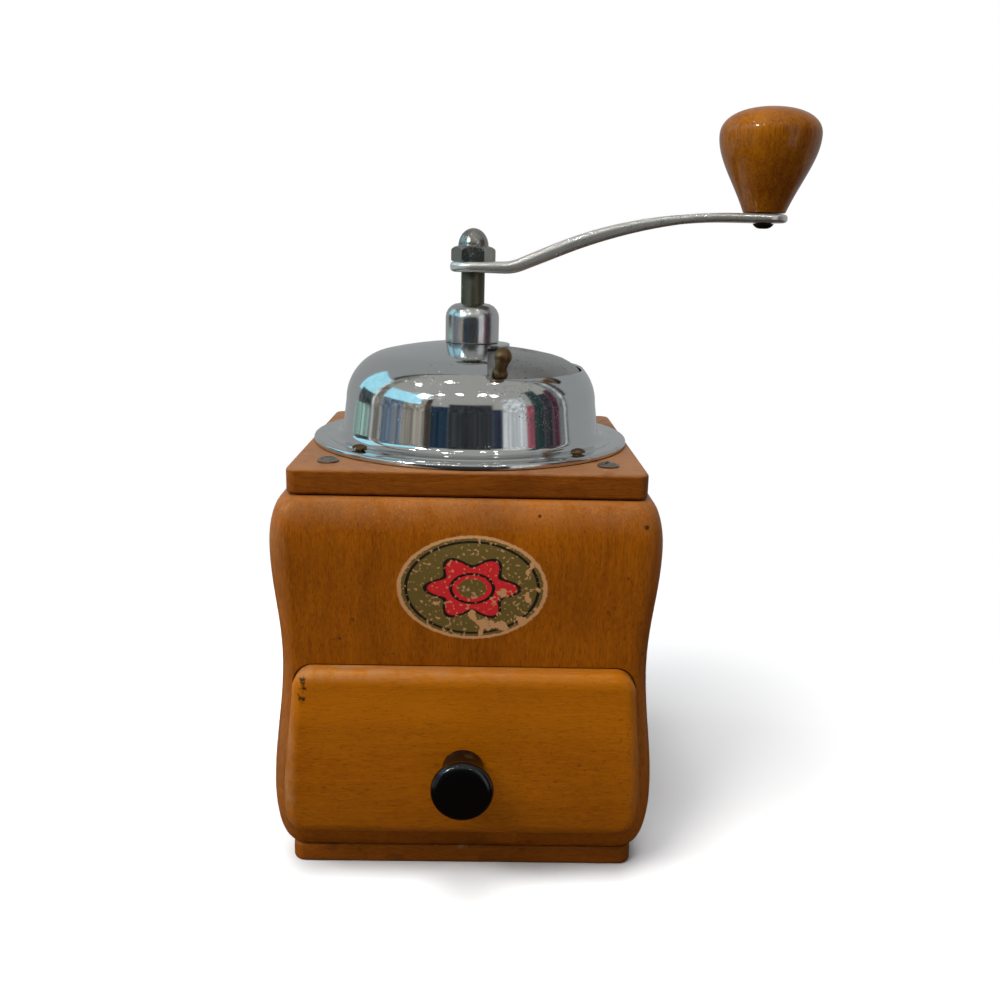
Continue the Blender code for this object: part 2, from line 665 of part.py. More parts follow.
def screw(name, place, seat, sizes, finish, parent, flip=False):
    """A screw standing in its hole, its head above or, flipped, below."""
    head_radius, head_height, shank_radius, length = sizes
    bm = turned(screw_outline(head_radius, head_height, shank_radius, length),
                SMALL_SEGMENTS, closed=False)
    if flip:
        bmesh.ops.rotate(bm, verts=bm.verts, cent=(0, 0, 0), matrix=Matrix.Rotation(pi, 3, 'X'))
    bmesh.ops.translate(bm, verts=bm.verts, vec=(place[0], place[1], seat))
    return piece(name, bm, finish, parent)


def slot_cutters(name, places, turns, head_radius, head_top, parent):
    """Straight slots across screw heads, each turned its own way."""
    bm = bmesh.new()
    reach = head_radius + OVERRUN
    bottom = head_top - SLOT_DEPTH
    for place, turn in zip(places, turns):
        middle = Vector((place[0], place[1], bottom + OVERRUN / 2))
        size = Matrix.Diagonal((reach * 2, SLOT_WIDTH, OVERRUN, 1))
        spin = Matrix.Rotation(radians(turn), 4, 'Z')
        bmesh.ops.create_cube(bm, size=1, matrix=Matrix.Translation(middle) @ spin @ size)
    return cutter(name, bm, parent)


def build_plinth(case):
    half = PLINTH_WIDTH / 2
    bm = prism(rounded_outline(half, half, PLINTH_CORNER), 0, PLINTH_HEIGHT)
    round_edges(piece("plinth", bm, HONEY_WOOD, case), PLINTH_EDGE)


def build_body_boards(case):
    for name, side in (("front_board", -1), ("back_board", 1)):
        rings = [at_level(face_board_outline(level, side), level) for level in body_levels()]
        board = piece(name, lofted(rings), HONEY_WOOD, case)
        if side < 0:
            combine(board, drawer_recess(case))
            combine(board, drawer_opening(case))
    for name, side in (("left_board", -1), ("right_board", 1)):
        rings = [at_level(side_board_outline(level, side), level) for level in body_levels()]
        piece(name, lofted(rings), HONEY_WOOD, case)


def drawer_recess(case):
    """The shallow flat seat that the drawer front closes into."""
    front = BODY_WIDTH / 2 + DRAWER_PROUD + OVERRUN
    rings = []
    for level in drawer_front_levels(DRAWER_CLEARANCE):
        half = drawer_front_half(level, DRAWER_CLEARANCE)
        rings.append(at_level(box_outline(-half, -front, half, -DRAWER_SEAT), level))
    return cutter("drawer_recess", lofted(rings), case)


def drawer_opening(case):
    """The way through the front board for the drawer's box."""
    half = DRAWER_OPENING_HALF
    outline = box_outline(-half, -DRAWER_SEAT - OVERRUN, half, -CAVITY_HALF + OVERRUN)
    top = DRAWER_BOX_TOP + DRAWER_CLEARANCE
    return cutter("drawer_opening", prism(outline, RAIL_TOP, top), case)


def build_runners(case):
    reach = CAVITY_HALF - GAP
    for name, side in (("left_runner", -1), ("right_runner", 1)):
        inner = side * (RUNNER_HALF - RUNNER_WIDTH)
        outline = box_outline(inner, -reach, side * RUNNER_HALF, reach)
        piece(name, prism(outline, BODY_BOTTOM, RAIL_TOP), PLAIN_WOOD, case)


def corner_places(distance):
    """The four places at a distance from both middle planes."""
    return [(x * distance, y * distance) for x, y in CORNER_SIGNS]


def build_top_plate(case):
    half = PLATE_WIDTH / 2
    bm = prism(rounded_outline(half, half, PLATE_CORNER), PLATE_BOTTOM, PLATE_TOP)
    plate = piece("top_plate", bm, TOP_WOOD, case)
    low = PLATE_BOTTOM - OVERRUN
    high = PLATE_TOP + OVERRUN
    holes = cylinders([(0, 0)], PLATE_HOLE_RADIUS, low, high, LARGE_SEGMENTS)
    for place in corner_places(SCREW_CORNER):
        add_cylinder(holes, place, CORNER_SCREW_SHANK_RADIUS + GAP, low, high)
    for place in flange_screw_places():
        add_cylinder(holes, place, FLANGE_SCREW_SHANK_RADIUS + GAP, low, high)
    for place in housing_screw_places():
        blind = PLATE_BOTTOM + HOUSING_SCREW_BITE + GAP
        add_cylinder(holes, place, HOUSING_SCREW_SHANK_RADIUS + GAP, low, blind)
    combine(plate, cutter("plate_holes", holes, case))


def build_corner_blocks(case):
    """Glued blocks in the cavity's upper corners, which the plate's screws bite into."""
    outer = CAVITY_HALF - GAP
    inner = outer - CORNER_BLOCK_WIDTH
    bottom = BODY_TOP - CORNER_BLOCK_HEIGHT
    reach = PLATE_TOP - CORNER_SCREW_LENGTH
    holes = cylinders(corner_places(SCREW_CORNER), CORNER_SCREW_SHANK_RADIUS + GAP,
                      reach, BODY_TOP + OVERRUN)
    tool = cutter("block_holes", holes, case)
    for name, (x, y) in zip(CORNER_NAMES, CORNER_SIGNS):
        outline = box_outline(x * inner, y * inner, x * outer, y * outer)
        block = piece("corner_block_" + name, prism(outline, bottom, BODY_TOP), PLAIN_WOOD, case)
        combine(block, tool)


def build_corner_screws(case):
    places = corner_places(SCREW_CORNER)
    seat = PLATE_TOP + GAP
    sizes = (CORNER_SCREW_HEAD_RADIUS, CORNER_SCREW_HEAD_HEIGHT,
             CORNER_SCREW_SHANK_RADIUS, CORNER_SCREW_LENGTH)
    slots = slot_cutters("corner_slots", places, CORNER_SCREW_TURNS,
                         CORNER_SCREW_HEAD_RADIUS, seat + CORNER_SCREW_HEAD_HEIGHT, case)
    for name, place in zip(CORNER_NAMES, places):
        combine(screw("plate_screw_" + name, place, seat, sizes, NICKEL, case), slots)


def flange_screw_places():
    return [on_circle(FLANGE_SCREW_CIRCLE, 45 + 90 * i) for i in (2, 3, 0, 1)]


def build_dome(case):
    dome = piece("hopper_dome", turned(dome_outline(), DOME_SEGMENTS), CHROME, case)
    moon = half_moon(WINDOW_INNER_RADIUS, WINDOW_OUTER_RADIUS, WINDOW_EDGE)
    low = skin_level(WINDOW_OUTER_RADIUS) - WINDOW_DEPTH
    window = cutter("dome_window", prism(moon, low, CROWN_LEVEL + OVERRUN), case)
    combine(dome, window)
    holes = cylinders(flange_screw_places(), FLANGE_SCREW_SHANK_RADIUS + GAP,
                      PLATE_TOP, PLATE_TOP + FLANGE_HEIGHT + OVERRUN)
    combine(dome, cutter("flange_holes", holes, case))


def build_flange_screws(case):
    places = flange_screw_places()
    seat = PLATE_TOP + FLANGE_HEIGHT + GAP
    sizes = (FLANGE_SCREW_HEAD_RADIUS, FLANGE_SCREW_HEAD_HEIGHT,
             FLANGE_SCREW_SHANK_RADIUS, FLANGE_SCREW_LENGTH)
    slots = slot_cutters("flange_slots", places, FLANGE_SCREW_TURNS,
                         FLANGE_SCREW_HEAD_RADIUS, seat + FLANGE_SCREW_HEAD_HEIGHT, case)
    for name, place in zip(CORNER_NAMES, places):
        combine(screw("flange_screw_" + name, place, seat, sizes, OLD_BRASS, case), slots)


def build_sleeve(case):
    """The flanged tube that guides the spindle and carries the shutter."""
    bore = SPINDLE_RADIUS + RUNNING_CLEARANCE
    flange_top = skin_level(SLEEVE_FLANGE_RADIUS, SHUTTER_OFFSET + SHUTTER_SHEET) - GAP
    flange_bottom = flange_top - SLEEVE_FLANGE
    top = CROWN_LEVEL + SLEEVE_RISE
    outline = [(bore, top), (SLEEVE_RADIUS, top), (SLEEVE_RADIUS, flange_top),
               (SLEEVE_FLANGE_RADIUS, flange_top), (SLEEVE_FLANGE_RADIUS, flange_bottom),
               (bore, flange_bottom)]
    piece("spindle_sleeve", turned(outline, MEDIUM_SEGMENTS), BRIGHT_STEEL, case)


def build_bell(case):
    """The bright cap over the sleeve, standing on the dome's crown."""
    bore = SPINDLE_RADIUS + RUNNING_CLEARANCE
    socket = SLEEVE_RADIUS + GAP
    socket_top = CROWN_LEVEL + SLEEVE_RISE + GAP
    centre = (BELL_RADIUS - BELL_SHOULDER, BELL_TOP - BELL_SHOULDER)
    outline = [(bore, BELL_TOP)]
    outline += arc(centre, BELL_SHOULDER, 90, 0, SHOULDER_STEPS)
    outline += [(BELL_RADIUS, BELL_BOTTOM), (socket, BELL_BOTTOM), (socket, socket_top),
                (bore, socket_top)]
    piece("bearing_bell", turned(outline, MEDIUM_SEGMENTS), CHROME, case)


def build_shutter(shutter):
    """A half shell under the window, on a hub ring that turns round the sleeve."""
    inside = SHUTTER_OFFSET + SHUTTER_SHEET
    foot = skin_centre(0)[1] - SHUTTER_SKIRT
    outer = skin_outline(DOME_BORE_RADIUS, SHUTTER_OFFSET)
    outer.append((DOME_WALL_RADIUS - SHUTTER_OFFSET, foot))
    inner = skin_outline(DOME_BORE_RADIUS, inside)
    inner.append((DOME_WALL_RADIUS - inside, foot))
    shell = turned(outer + inner[::-1], DOME_SEGMENTS)
    plate = piece("shutter_plate", shell, DULL_CHROME, shutter)
    moon = half_moon(SHUTTER_HUB_RADIUS, DOME_FOOT_RADIUS, SHUTTER_EDGE)
    away = [(-x, y) for x, y in moon]
    combine(plate, cutter("shutter_half", prism(away, foot - OVERRUN, CROWN_LEVEL), shutter))
    hole = turned([(SHUTTER_RIVET_RADIUS + GAP, OVERRUN), (SHUTTER_RIVET_RADIUS + GAP, -OVERRUN),
                   (0, -OVERRUN), (0, OVERRUN)], SMALL_SEGMENTS)
    bmesh.ops.transform(hole, verts=hole.verts, matrix=shutter_knob_matrix())
    combine(plate, cutter("shutter_rivet_hole", hole, shutter))


def shutter_knob_matrix():
    """Places the knob on the shutter, leaning out as the skin does there."""
    turn = Matrix.Rotation(SHUTTER_KNOB_ANGLE, 4, 'Z')
    lean = Matrix.Rotation(SHUTTER_KNOB_LEAN, 4, 'X')
    seat = skin_level(SHUTTER_KNOB_RADIUS, SHUTTER_OFFSET)
    place = Matrix.Translation((0, -SHUTTER_KNOB_RADIUS, seat))
    return turn @ place @ lean


def build_shutter_knob(shutter):
    """A little acorn knob, riveted through the shutter."""
    under = -SHUTTER_SHEET - SHUTTER_RIVET_DROP
    ball = SHUTTER_KNOB_LENGTH - SHUTTER_KNOB_BALL_RADIUS
    outline = [(0, SHUTTER_KNOB_LENGTH)]
    outline += arc((0, ball), SHUTTER_KNOB_BALL_RADIUS, 60, -40)
    outline += [(SHUTTER_KNOB_NECK_RADIUS, SHUTTER_KNOB_NECK),
                (SHUTTER_KNOB_NECK_RADIUS, SHUTTER_KNOB_BASE),
                (SHUTTER_KNOB_BASE_RADIUS, SHUTTER_KNOB_BASE / 2),
                (SHUTTER_KNOB_BASE_RADIUS, GAP), (SHUTTER_RIVET_RADIUS, GAP),
                (SHUTTER_RIVET_RADIUS, under), (SHUTTER_RIVET_HEAD_RADIUS, under),
                (SHUTTER_RIVET_RADIUS, under - SHUTTER_RIVET_HEAD),
                (0, under - SHUTTER_RIVET_HEAD)]
    bm = turned(outline, SMALL_SEGMENTS, closed=False)
    bmesh.ops.transform(bm, verts=bm.verts, matrix=shutter_knob_matrix())
    piece("shutter_knob", bm, OLD_BRASS, shutter)


def build_spindle(crank):
    """The driven shaft, from the thrust ball to the cap nut, flatted for the arm."""
    top = NUT_LEVEL + NUT_HEX_HEIGHT
    outline = [(0, top), (SPINDLE_RADIUS, top), (SPINDLE_RADIUS, SPINDLE_BOTTOM), (0, SPINDLE_BOTTOM)]
    shaft = piece("spindle", turned(outline, MEDIUM_SEGMENTS, closed=False), DARK_STEEL, crank)
    flat = SPINDLE_FLAT / 2
    reach = SPINDLE_RADIUS + OVERRUN
    flats = bmesh.new()
    for side in (-1, 1):
        size = Matrix.Diagonal((reach * 2, OVERRUN, top + OVERRUN - ARM_LEVEL, 1))
        middle = Vector((0, side * (flat + OVERRUN / 2), (top + OVERRUN + ARM_LEVEL) / 2))
        bmesh.ops.create_cube(flats, size=1, matrix=Matrix.Translation(middle) @ size)
    combine(shaft, cutter("spindle_flats", flats, crank))
    bore = turned([(BURR_PIN_RADIUS + GAP, -reach), (BURR_PIN_RADIUS + GAP, reach),
                   (0, reach), (0, -reach)], SMALL_SEGMENTS)
    bmesh.ops.transform(bore, verts=bore.verts, matrix=burr_pin_matrix())
    combine(shaft, cutter("spindle_pin_hole", bore, crank))


def burr_pin_matrix():
    """Lays the burr's pin along X, across the spindle."""
    return Matrix.Translation((0, 0, BURR_PIN_LEVEL)) @ Matrix.Rotation(pi / 2, 4, 'Y')


def build_burr_pin(crank):
    half = BURR_PIN_LENGTH / 2
    outline = [(0, half), (BURR_PIN_RADIUS, half), (BURR_PIN_RADIUS, -half), (0, -half)]
    bm = turned(outline, SMALL_SEGMENTS, closed=False)
    bmesh.ops.transform(bm, verts=bm.verts, matrix=burr_pin_matrix())
    piece("burr_pin", bm, BRIGHT_STEEL, crank)


def star(radius, depth, teeth, turn):
    """A ring of straight-sided teeth whose tips lie on a radius."""
    points = []
    for i in range(teeth * 2):
        reach = radius - depth * (i % 2)
        angle = turn + pi * i / teeth
        points.append((reach * cos(angle), reach * sin(angle)))
    return points


def cone_radius(level):
    """Radius of the burr cone's tooth tips at a level."""
    return BURR_RADIUS - BURR_TAPER_SHARE * (level - BURR_CONE_BOTTOM)


def build_burr_cone(crank):
    rings = []
    for i in range(BURR_CONE_STEPS + 1):
        share = i / BURR_CONE_STEPS
        level = BURR_CONE_BOTTOM + BURR_CONE_HEIGHT * share
        outline = star(cone_radius(level), BURR_TOOTH, BURR_CONE_TEETH, BURR_CONE_TWIST * share)
        rings.append(at_level(outline, level))
    burr = piece("burr_cone", lofted(rings), DARK_STEEL, crank)
    bore = cylinders([(0, 0)], SPINDLE_RADIUS + GAP, BURR_CONE_BOTTOM - OVERRUN,
                     BURR_CONE_TOP + OVERRUN, MEDIUM_SEGMENTS)
    combine(burr, cutter("burr_bore", bore, crank))
    half = BURR_PIN_LENGTH / 2 + GAP
    across = BURR_PIN_RADIUS + GAP
    seat = box_outline(-half, -across, half, across)
    bottom = BURR_PIN_LEVEL - BURR_PIN_RADIUS - GAP
    combine(burr, cutter("burr_pin_seat", prism(seat, bottom, BURR_CONE_TOP + OVERRUN), crank))


def build_burr_ring(case):
    outline = [(0, BURR_RING_TOP), (BURR_RING_RADIUS, BURR_RING_TOP),
               (BURR_RING_RADIUS, BURR_RING_BOTTOM), (0, BURR_RING_BOTTOM)]
    ring = piece("burr_ring", turned(outline, LARGE_SEGMENTS, closed=False), DARK_STEEL, case)
    rings = []
    low = BURR_RING_BOTTOM - OVERRUN
    span = BURR_RING_HEIGHT + OVERRUN * 2
    for i in range(BURR_RING_STEPS + 1):
        share = i / BURR_RING_STEPS
        level = low + span * share
        radius = cone_radius(level) + BURR_CLEARANCE + BURR_TOOTH
        turn = BURR_RING_TWIST * share
        rings.append(at_level(star(radius, BURR_TOOTH, BURR_RING_TEETH, turn), level))
    combine(ring, cutter("burr_ring_teeth", lofted(rings), case))


def housing_screw_places():
    return [on_circle(HOUSING_SCREW_CIRCLE, 90 * i) for i in range(4)]


def lower_screw_places():
    return [(-LOWER_SCREW_CIRCLE, 0), (LOWER_SCREW_CIRCLE, 0)]


def upper_screw_places():
    return [(0, -UPPER_SCREW_PLACE), (0, UPPER_SCREW_PLACE)]


def build_housing(case):
    """The cast funnel under the top board, with the seat for the burr ring."""
    flange_bottom = HOUSING_TOP - HOUSING_FLANGE
    foot_top = HOUSING_BOTTOM + HOUSING_FLANGE
    outline = [(MOUTH_RADIUS, HOUSING_TOP), (HOUSING_FLANGE_RADIUS, HOUSING_TOP),
               (HOUSING_FLANGE_RADIUS, flange_bottom),
               (MOUTH_RADIUS + HOUSING_WALL, flange_bottom),
               (HOUSING_BARREL_RADIUS, LIP_TOP),
               (HOUSING_BARREL_RADIUS, foot_top), (HOUSING_FOOT_RADIUS, foot_top),
               (HOUSING_FOOT_RADIUS, HOUSING_BOTTOM), (BURR_SEAT_RADIUS, HOUSING_BOTTOM),
               (BURR_SEAT_RADIUS, LIP_BOTTOM), (THROAT_RADIUS, LIP_BOTTOM), (THROAT_RADIUS, LIP_TOP)]
    housing = piece("mill_housing", turned(outline, LARGE_SEGMENTS), CAST_IRON, case)
    holes = cylinders(housing_screw_places(), HOUSING_SCREW_SHANK_RADIUS + GAP,
                      flange_bottom - OVERRUN, HOUSING_TOP + OVERRUN)
    for place in upper_screw_places():
        add_cylinder(holes, place, BRIDGE_SCREW_SHANK_RADIUS + GAP,
                     flange_bottom - OVERRUN, HOUSING_TOP + OVERRUN)
    for place in lower_screw_places():
        add_cylinder(holes, place, BRIDGE_SCREW_SHANK_RADIUS + GAP,
                     HOUSING_BOTTOM - OVERRUN, foot_top + OVERRUN)
    combine(housing, cutter("housing_holes", holes, case))


def build_housing_screws(case):
    sizes = (HOUSING_SCREW_HEAD_RADIUS, HOUSING_SCREW_HEAD_HEIGHT,
             HOUSING_SCREW_SHANK_RADIUS, HOUSING_FLANGE + HOUSING_SCREW_BITE)
    seat = HOUSING_TOP - HOUSING_FLANGE - GAP
    for name, place in zip(("right", "back", "left", "front"), housing_screw_places()):
        screw("housing_screw_" + name, place, seat, sizes, BRIGHT_STEEL, case, flip=True)


def build_upper_bridge(case):
    """A strap across the hopper's mouth, with a boss for the spindle's bush."""
    half = UPPER_BRIDGE_WIDTH / 2
    reach = sqrt((PLATE_HOLE_RADIUS - GAP) ** 2 - half * half) - GAP
    outline = box_outline(-half, -reach, half, reach)
    bridge = piece("upper_bridge", prism(outline, UPPER_BRIDGE_BOTTOM, UPPER_BRIDGE_TOP),
                   CAST_IRON, case)
    boss = cylinders([(0, 0)], UPPER_BOSS_RADIUS, UPPER_BOSS_BOTTOM, UPPER_BOSS_TOP,
                     MEDIUM_SEGMENTS)
    combine(bridge, cutter("upper_boss", boss, case), 'UNION')
    holes = cylinders(upper_screw_places(), BRIDGE_SCREW_SHANK_RADIUS + GAP,
                      UPPER_BRIDGE_BOTTOM - OVERRUN, UPPER_BRIDGE_TOP + OVERRUN)
    add_cylinder(holes, (0, 0), UPPER_BUSH_RADIUS + GAP, UPPER_BOSS_BOTTOM - OVERRUN,
                 UPPER_BRIDGE_TOP + OVERRUN, MEDIUM_SEGMENTS)
    combine(bridge, cutter("upper_bridge_holes", holes, case))
    bore = SPINDLE_RADIUS + RUNNING_CLEARANCE
    seat = UPPER_BOSS_TOP + GAP
    top = seat + UPPER_BUSH_FLANGE
    outline = [(bore, top), (UPPER_BUSH_FLANGE_RADIUS, top), (UPPER_BUSH_FLANGE_RADIUS, seat),
               (UPPER_BUSH_RADIUS, seat), (UPPER_BUSH_RADIUS, UPPER_BOSS_BOTTOM),
               (bore, UPPER_BOSS_BOTTOM)]
    piece("upper_bush", turned(outline, MEDIUM_SEGMENTS), BRASS, case)
    sizes = (BRIDGE_SCREW_HEAD_RADIUS, BRIDGE_SCREW_HEAD_HEIGHT, BRIDGE_SCREW_SHANK_RADIUS,
             UPPER_BRIDGE_THICKNESS + HOUSING_FLANGE)
    for name, place in zip(("front", "back"), upper_screw_places()):
        screw("bridge_screw_" + name, place, UPPER_BRIDGE_TOP + GAP, sizes, BRIGHT_STEEL, case)


def build_lower_bridge(case):
    """A ring and bar under the burrs, with a threaded boss for the adjusting screw."""
    outline = [(LOWER_RING_RADIUS, LOWER_BRIDGE_TOP), (HOUSING_FOOT_RADIUS, LOWER_BRIDGE_TOP),
               (HOUSING_FOOT_RADIUS, LOWER_BRIDGE_BOTTOM), (LOWER_RING_RADIUS, LOWER_BRIDGE_BOTTOM)]
    bridge = piece("lower_bridge", turned(outline, LARGE_SEGMENTS), CAST_IRON, case)
    reach = (LOWER_RING_RADIUS + HOUSING_BARREL_RADIUS) / 2
    half = LOWER_BRIDGE_BAR / 2
    bar = prism(box_outline(-reach, -half, reach, half), LOWER_BRIDGE_BOTTOM + GAP,
                LOWER_BRIDGE_TOP - GAP)
    combine(bridge, cutter("lower_bar", bar, case), 'UNION')
    boss = cylinders([(0, 0)], LOWER_BOSS_RADIUS, LOWER_BOSS_BOTTOM, LOWER_BRIDGE_TOP,
                     MEDIUM_SEGMENTS)
    combine(bridge, cutter("lower_boss", boss, case), 'UNION')
    holes = cylinders([(0, 0)], ADJUST_SCREW_RADIUS + GAP, LOWER_BOSS_BOTTOM - OVERRUN,
                      LOWER_BRIDGE_TOP + OVERRUN, MEDIUM_SEGMENTS)
    for place in lower_screw_places():
        add_cylinder(holes, place, BRIDGE_SCREW_SHANK_RADIUS + GAP,
                     LOWER_BRIDGE_BOTTOM - OVERRUN, LOWER_BRIDGE_TOP + OVERRUN)
    combine(bridge, cutter("lower_bridge_holes", holes, case))
    sizes = (BRIDGE_SCREW_HEAD_RADIUS, BRIDGE_SCREW_HEAD_HEIGHT, BRIDGE_SCREW_SHANK_RADIUS,
             LOWER_BRIDGE_THICKNESS + HOUSING_FLANGE)
    for name, place in zip(("left", "right"), lower_screw_places()):
        screw("bridge_screw_" + name, place, LOWER_BRIDGE_BOTTOM - GAP, sizes, BRIGHT_STEEL,
              case, flip=True)


def build_lock_nut(case):
    bottom = LOCK_NUT_BOTTOM
    nut = piece("lock_nut", prism(hexagon(LOCK_NUT_FLATS), bottom, LOCK_NUT_TOP), BRIGHT_STEEL, case)
    bore = cylinders([(0, 0)], ADJUST_SCREW_RADIUS + GAP, bottom - OVERRUN,
                     LOCK_NUT_TOP + OVERRUN, MEDIUM_SEGMENTS)
    combine(nut, cutter("lock_nut_bore", bore, case))


def build_thrust_ball(lift):
    bm = bmesh.new()
    bmesh.ops.create_uvsphere(bm, u_segments=SMALL_SEGMENTS, v_segments=SMALL_SEGMENTS,
                              radius=THRUST_BALL_RADIUS,
                              matrix=Matrix.Translation((0, 0, BALL_CENTRE)))
    piece("thrust_ball", bm, BRIGHT_STEEL, lift)


def build_adjusting_screw(adjuster):
    """The screw under the spindle, with a cup for the ball and a lobed head."""
    outline = [(0, ADJUST_CUP_FLOOR), (ADJUST_CUP_RADIUS, ADJUST_CUP_FLOOR),
               (ADJUST_CUP_RADIUS, ADJUST_SCREW_TOP), (ADJUST_SCREW_RADIUS, ADJUST_SCREW_TOP),
               (ADJUST_SCREW_RADIUS, ADJUST_HEAD_TOP), (ADJUST_HEAD_RADIUS, ADJUST_HEAD_TOP),
               (ADJUST_HEAD_RADIUS, ADJUST_HEAD_BOTTOM), (0, ADJUST_HEAD_BOTTOM)]
    bm = turned(outline, MEDIUM_SEGMENTS, closed=False)
    head = piece("adjusting_screw", bm, BRASS, adjuster)
    places = [on_circle(ADJUST_HEAD_RADIUS + ADJUST_LOBE_DEPTH, 360 * i / ADJUST_HEAD_LOBES)
              for i in range(ADJUST_HEAD_LOBES)]
    lobes = cylinders(places, ADJUST_LOBE_DEPTH * 2, ADJUST_HEAD_BOTTOM - OVERRUN,
                      ADJUST_HEAD_TOP + GAP)
    combine(head, cutter("adjuster_lobes", lobes, adjuster))


def arm_path():
    """The arm's middle line: (x, level, slope, thickness, half width) from hub to end."""
    end_radius = ARM_WIDTH / 2
    middle = ARM_LEVEL + ARM_HUB_THICKNESS / 2
    bend_end = ARM_BEND_START + ARM_BEND_RADIUS * sin(ARM_RISE_ANGLE)
    sweep_end = CRANK_RADIUS - ARM_FLAT_LENGTH
    sweep = (sweep_end - bend_end) / sin(ARM_RISE_ANGLE)
    bend_rise = ARM_BEND_RADIUS * (1 - cos(ARM_RISE_ANGLE))
    end_level = middle + bend_rise + sweep * (1 - cos(ARM_RISE_ANGLE))
    line = [(0, middle, 0)]
    for i in range(ARM_BEND_STEPS + 1):
        angle = ARM_RISE_ANGLE * i / ARM_BEND_STEPS
        line.append((ARM_BEND_START + ARM_BEND_RADIUS * sin(angle),
                     middle + ARM_BEND_RADIUS * (1 - cos(angle)), angle))
    for i in range(1, ARM_SWEEP_STEPS + 1):
        angle = ARM_RISE_ANGLE * (1 - i / ARM_SWEEP_STEPS)
        line.append((sweep_end - sweep * sin(angle), end_level - sweep * (1 - cos(angle)), angle))
    line.append((CRANK_RADIUS, end_level, 0))
    end_angles = [pi / 2 * (i + 1 / 2) / ARM_END_STEPS for i in range(ARM_END_STEPS)]
    stations = []
    for angle in end_angles:
        stations.append((-end_radius * cos(angle), middle, 0, ARM_HUB_THICKNESS,
                         end_radius * sin(angle)))
    for x, level, slope in line:
        share = x / CRANK_RADIUS
        thickness = ARM_HUB_THICKNESS + (ARM_END_THICKNESS - ARM_HUB_THICKNESS) * share
        waist = (ARM_WIDTH - ARM_WAIST_WIDTH) * sin(pi * share)
        stations.append((x, level, slope, thickness, (ARM_WIDTH - waist) / 2))
    for angle in reversed(end_angles):
        stations.append((CRANK_RADIUS + end_radius * cos(angle), end_level, 0,
                         ARM_END_THICKNESS, end_radius * sin(angle)))
    return stations, end_level + ARM_END_THICKNESS / 2


def build_arm(crank):
    stations, arm_top = arm_path()
    rings = []
    for x, level, slope, thickness, half in stations:
        rise = thickness / 2
        lean = sin(slope) * rise
        lift = cos(slope) * rise
        rings.append([(x - lean, -half, level + lift), (x - lean, half, level + lift),
                      (x + lean, half, level - lift), (x + lean, -half, level - lift)])
    arm = piece("crank_arm", lofted(rings), NICKEL, crank)
    eye = SPINDLE_RADIUS + GAP
    flat = SPINDLE_FLAT / 2 + GAP
    end = degrees(asin(flat / eye))
    outline = arc((0, 0), eye, -end, end) + arc((0, 0), eye, 180 - end, 180 + end)
    eye_tool = prism(outline, ARM_LEVEL - OVERRUN, NUT_LEVEL + OVERRUN)
    combine(arm, cutter("arm_eye", eye_tool, crank))
    pin_hole = cylinders([(CRANK_RADIUS, 0)], HANDLE_PIN_RADIUS + GAP,
                         arm_top - ARM_END_THICKNESS - OVERRUN, arm_top + OVERRUN)
    combine(arm, cutter("arm_pin_hole", pin_hole, crank))
    return arm_top


def build_cap_nut(crank):
    """A domed nut: a chamfered, crowned envelope trimmed to a hexagon."""
    corner = NUT_FLATS / sqrt(3) + GAP
    hex_top = NUT_LEVEL + NUT_HEX_HEIGHT
    bore = SPINDLE_RADIUS + GAP
    outline = [(0, hex_top + NUT_ACORN_HEIGHT)]
    for i in range(1, ARC_STEPS + 1):
        angle = pi / 2 * (1 - i / ARC_STEPS)
        outline.append((NUT_ACORN_RADIUS * cos(angle), hex_top + NUT_ACORN_HEIGHT * sin(angle)))
    outline += [(corner - NUT_SHOULDER, hex_top), (corner, hex_top - NUT_CHAMFER),
                (corner, NUT_LEVEL), (bore, NUT_LEVEL), (bore, hex_top + GAP), (0, hex_top + GAP)]
    nut = piece("cap_nut", turned(outline, MEDIUM_SEGMENTS, closed=False), DULL_CHROME, crank)
    sides = prism(hexagon(NUT_FLATS), NUT_LEVEL - OVERRUN, hex_top + NUT_ACORN_HEIGHT + OVERRUN)
    combine(nut, cutter("nut_hexagon", sides, crank), 'INTERSECT')


def build_handle_pin(crank, arm_top):
    """The rivet that the handle turns on, headed under the arm and over the knob."""
    knob_bottom = arm_top + GAP + HANDLE_WASHER + GAP
    seat = knob_bottom + KNOB_BELLY + KNOB_CROWN - KNOB_TOP_SEAT_DEPTH + GAP
    top = seat + KNOB_TOP_SEAT_DEPTH / 2
    under = arm_top - ARM_END_THICKNESS - GAP
    foot = under - HANDLE_PIN_HEAD
    outline = [(0, top), (HANDLE_PIN_HEAD_RADIUS, seat + GAP), (HANDLE_PIN_HEAD_RADIUS, seat),
               (HANDLE_PIN_RADIUS, seat), (HANDLE_PIN_RADIUS, under),
               (HANDLE_PIN_HEAD_RADIUS, under), (HANDLE_PIN_HEAD_RADIUS, under - HANDLE_PIN_HEAD / 2),
               (HANDLE_PIN_RADIUS, foot), (0, foot)]
    bm = turned(outline, MEDIUM_SEGMENTS, closed=False)
    bmesh.ops.translate(bm, verts=bm.verts, vec=(CRANK_RADIUS, 0, 0))
    piece("handle_pin", bm, BRIGHT_STEEL, crank)
    bottom = arm_top + GAP
    bore = HANDLE_PIN_RADIUS + GAP
    ring = [(bore, bottom + HANDLE_WASHER), (HANDLE_WASHER_RADIUS, bottom + HANDLE_WASHER),
            (HANDLE_WASHER_RADIUS, bottom), (bore, bottom)]
    washer = turned(ring, MEDIUM_SEGMENTS)
    bmesh.ops.translate(washer, verts=washer.verts, vec=(CRANK_RADIUS, 0, 0))
    piece("handle_washer", washer, BRIGHT_STEEL, crank)
    return knob_bottom


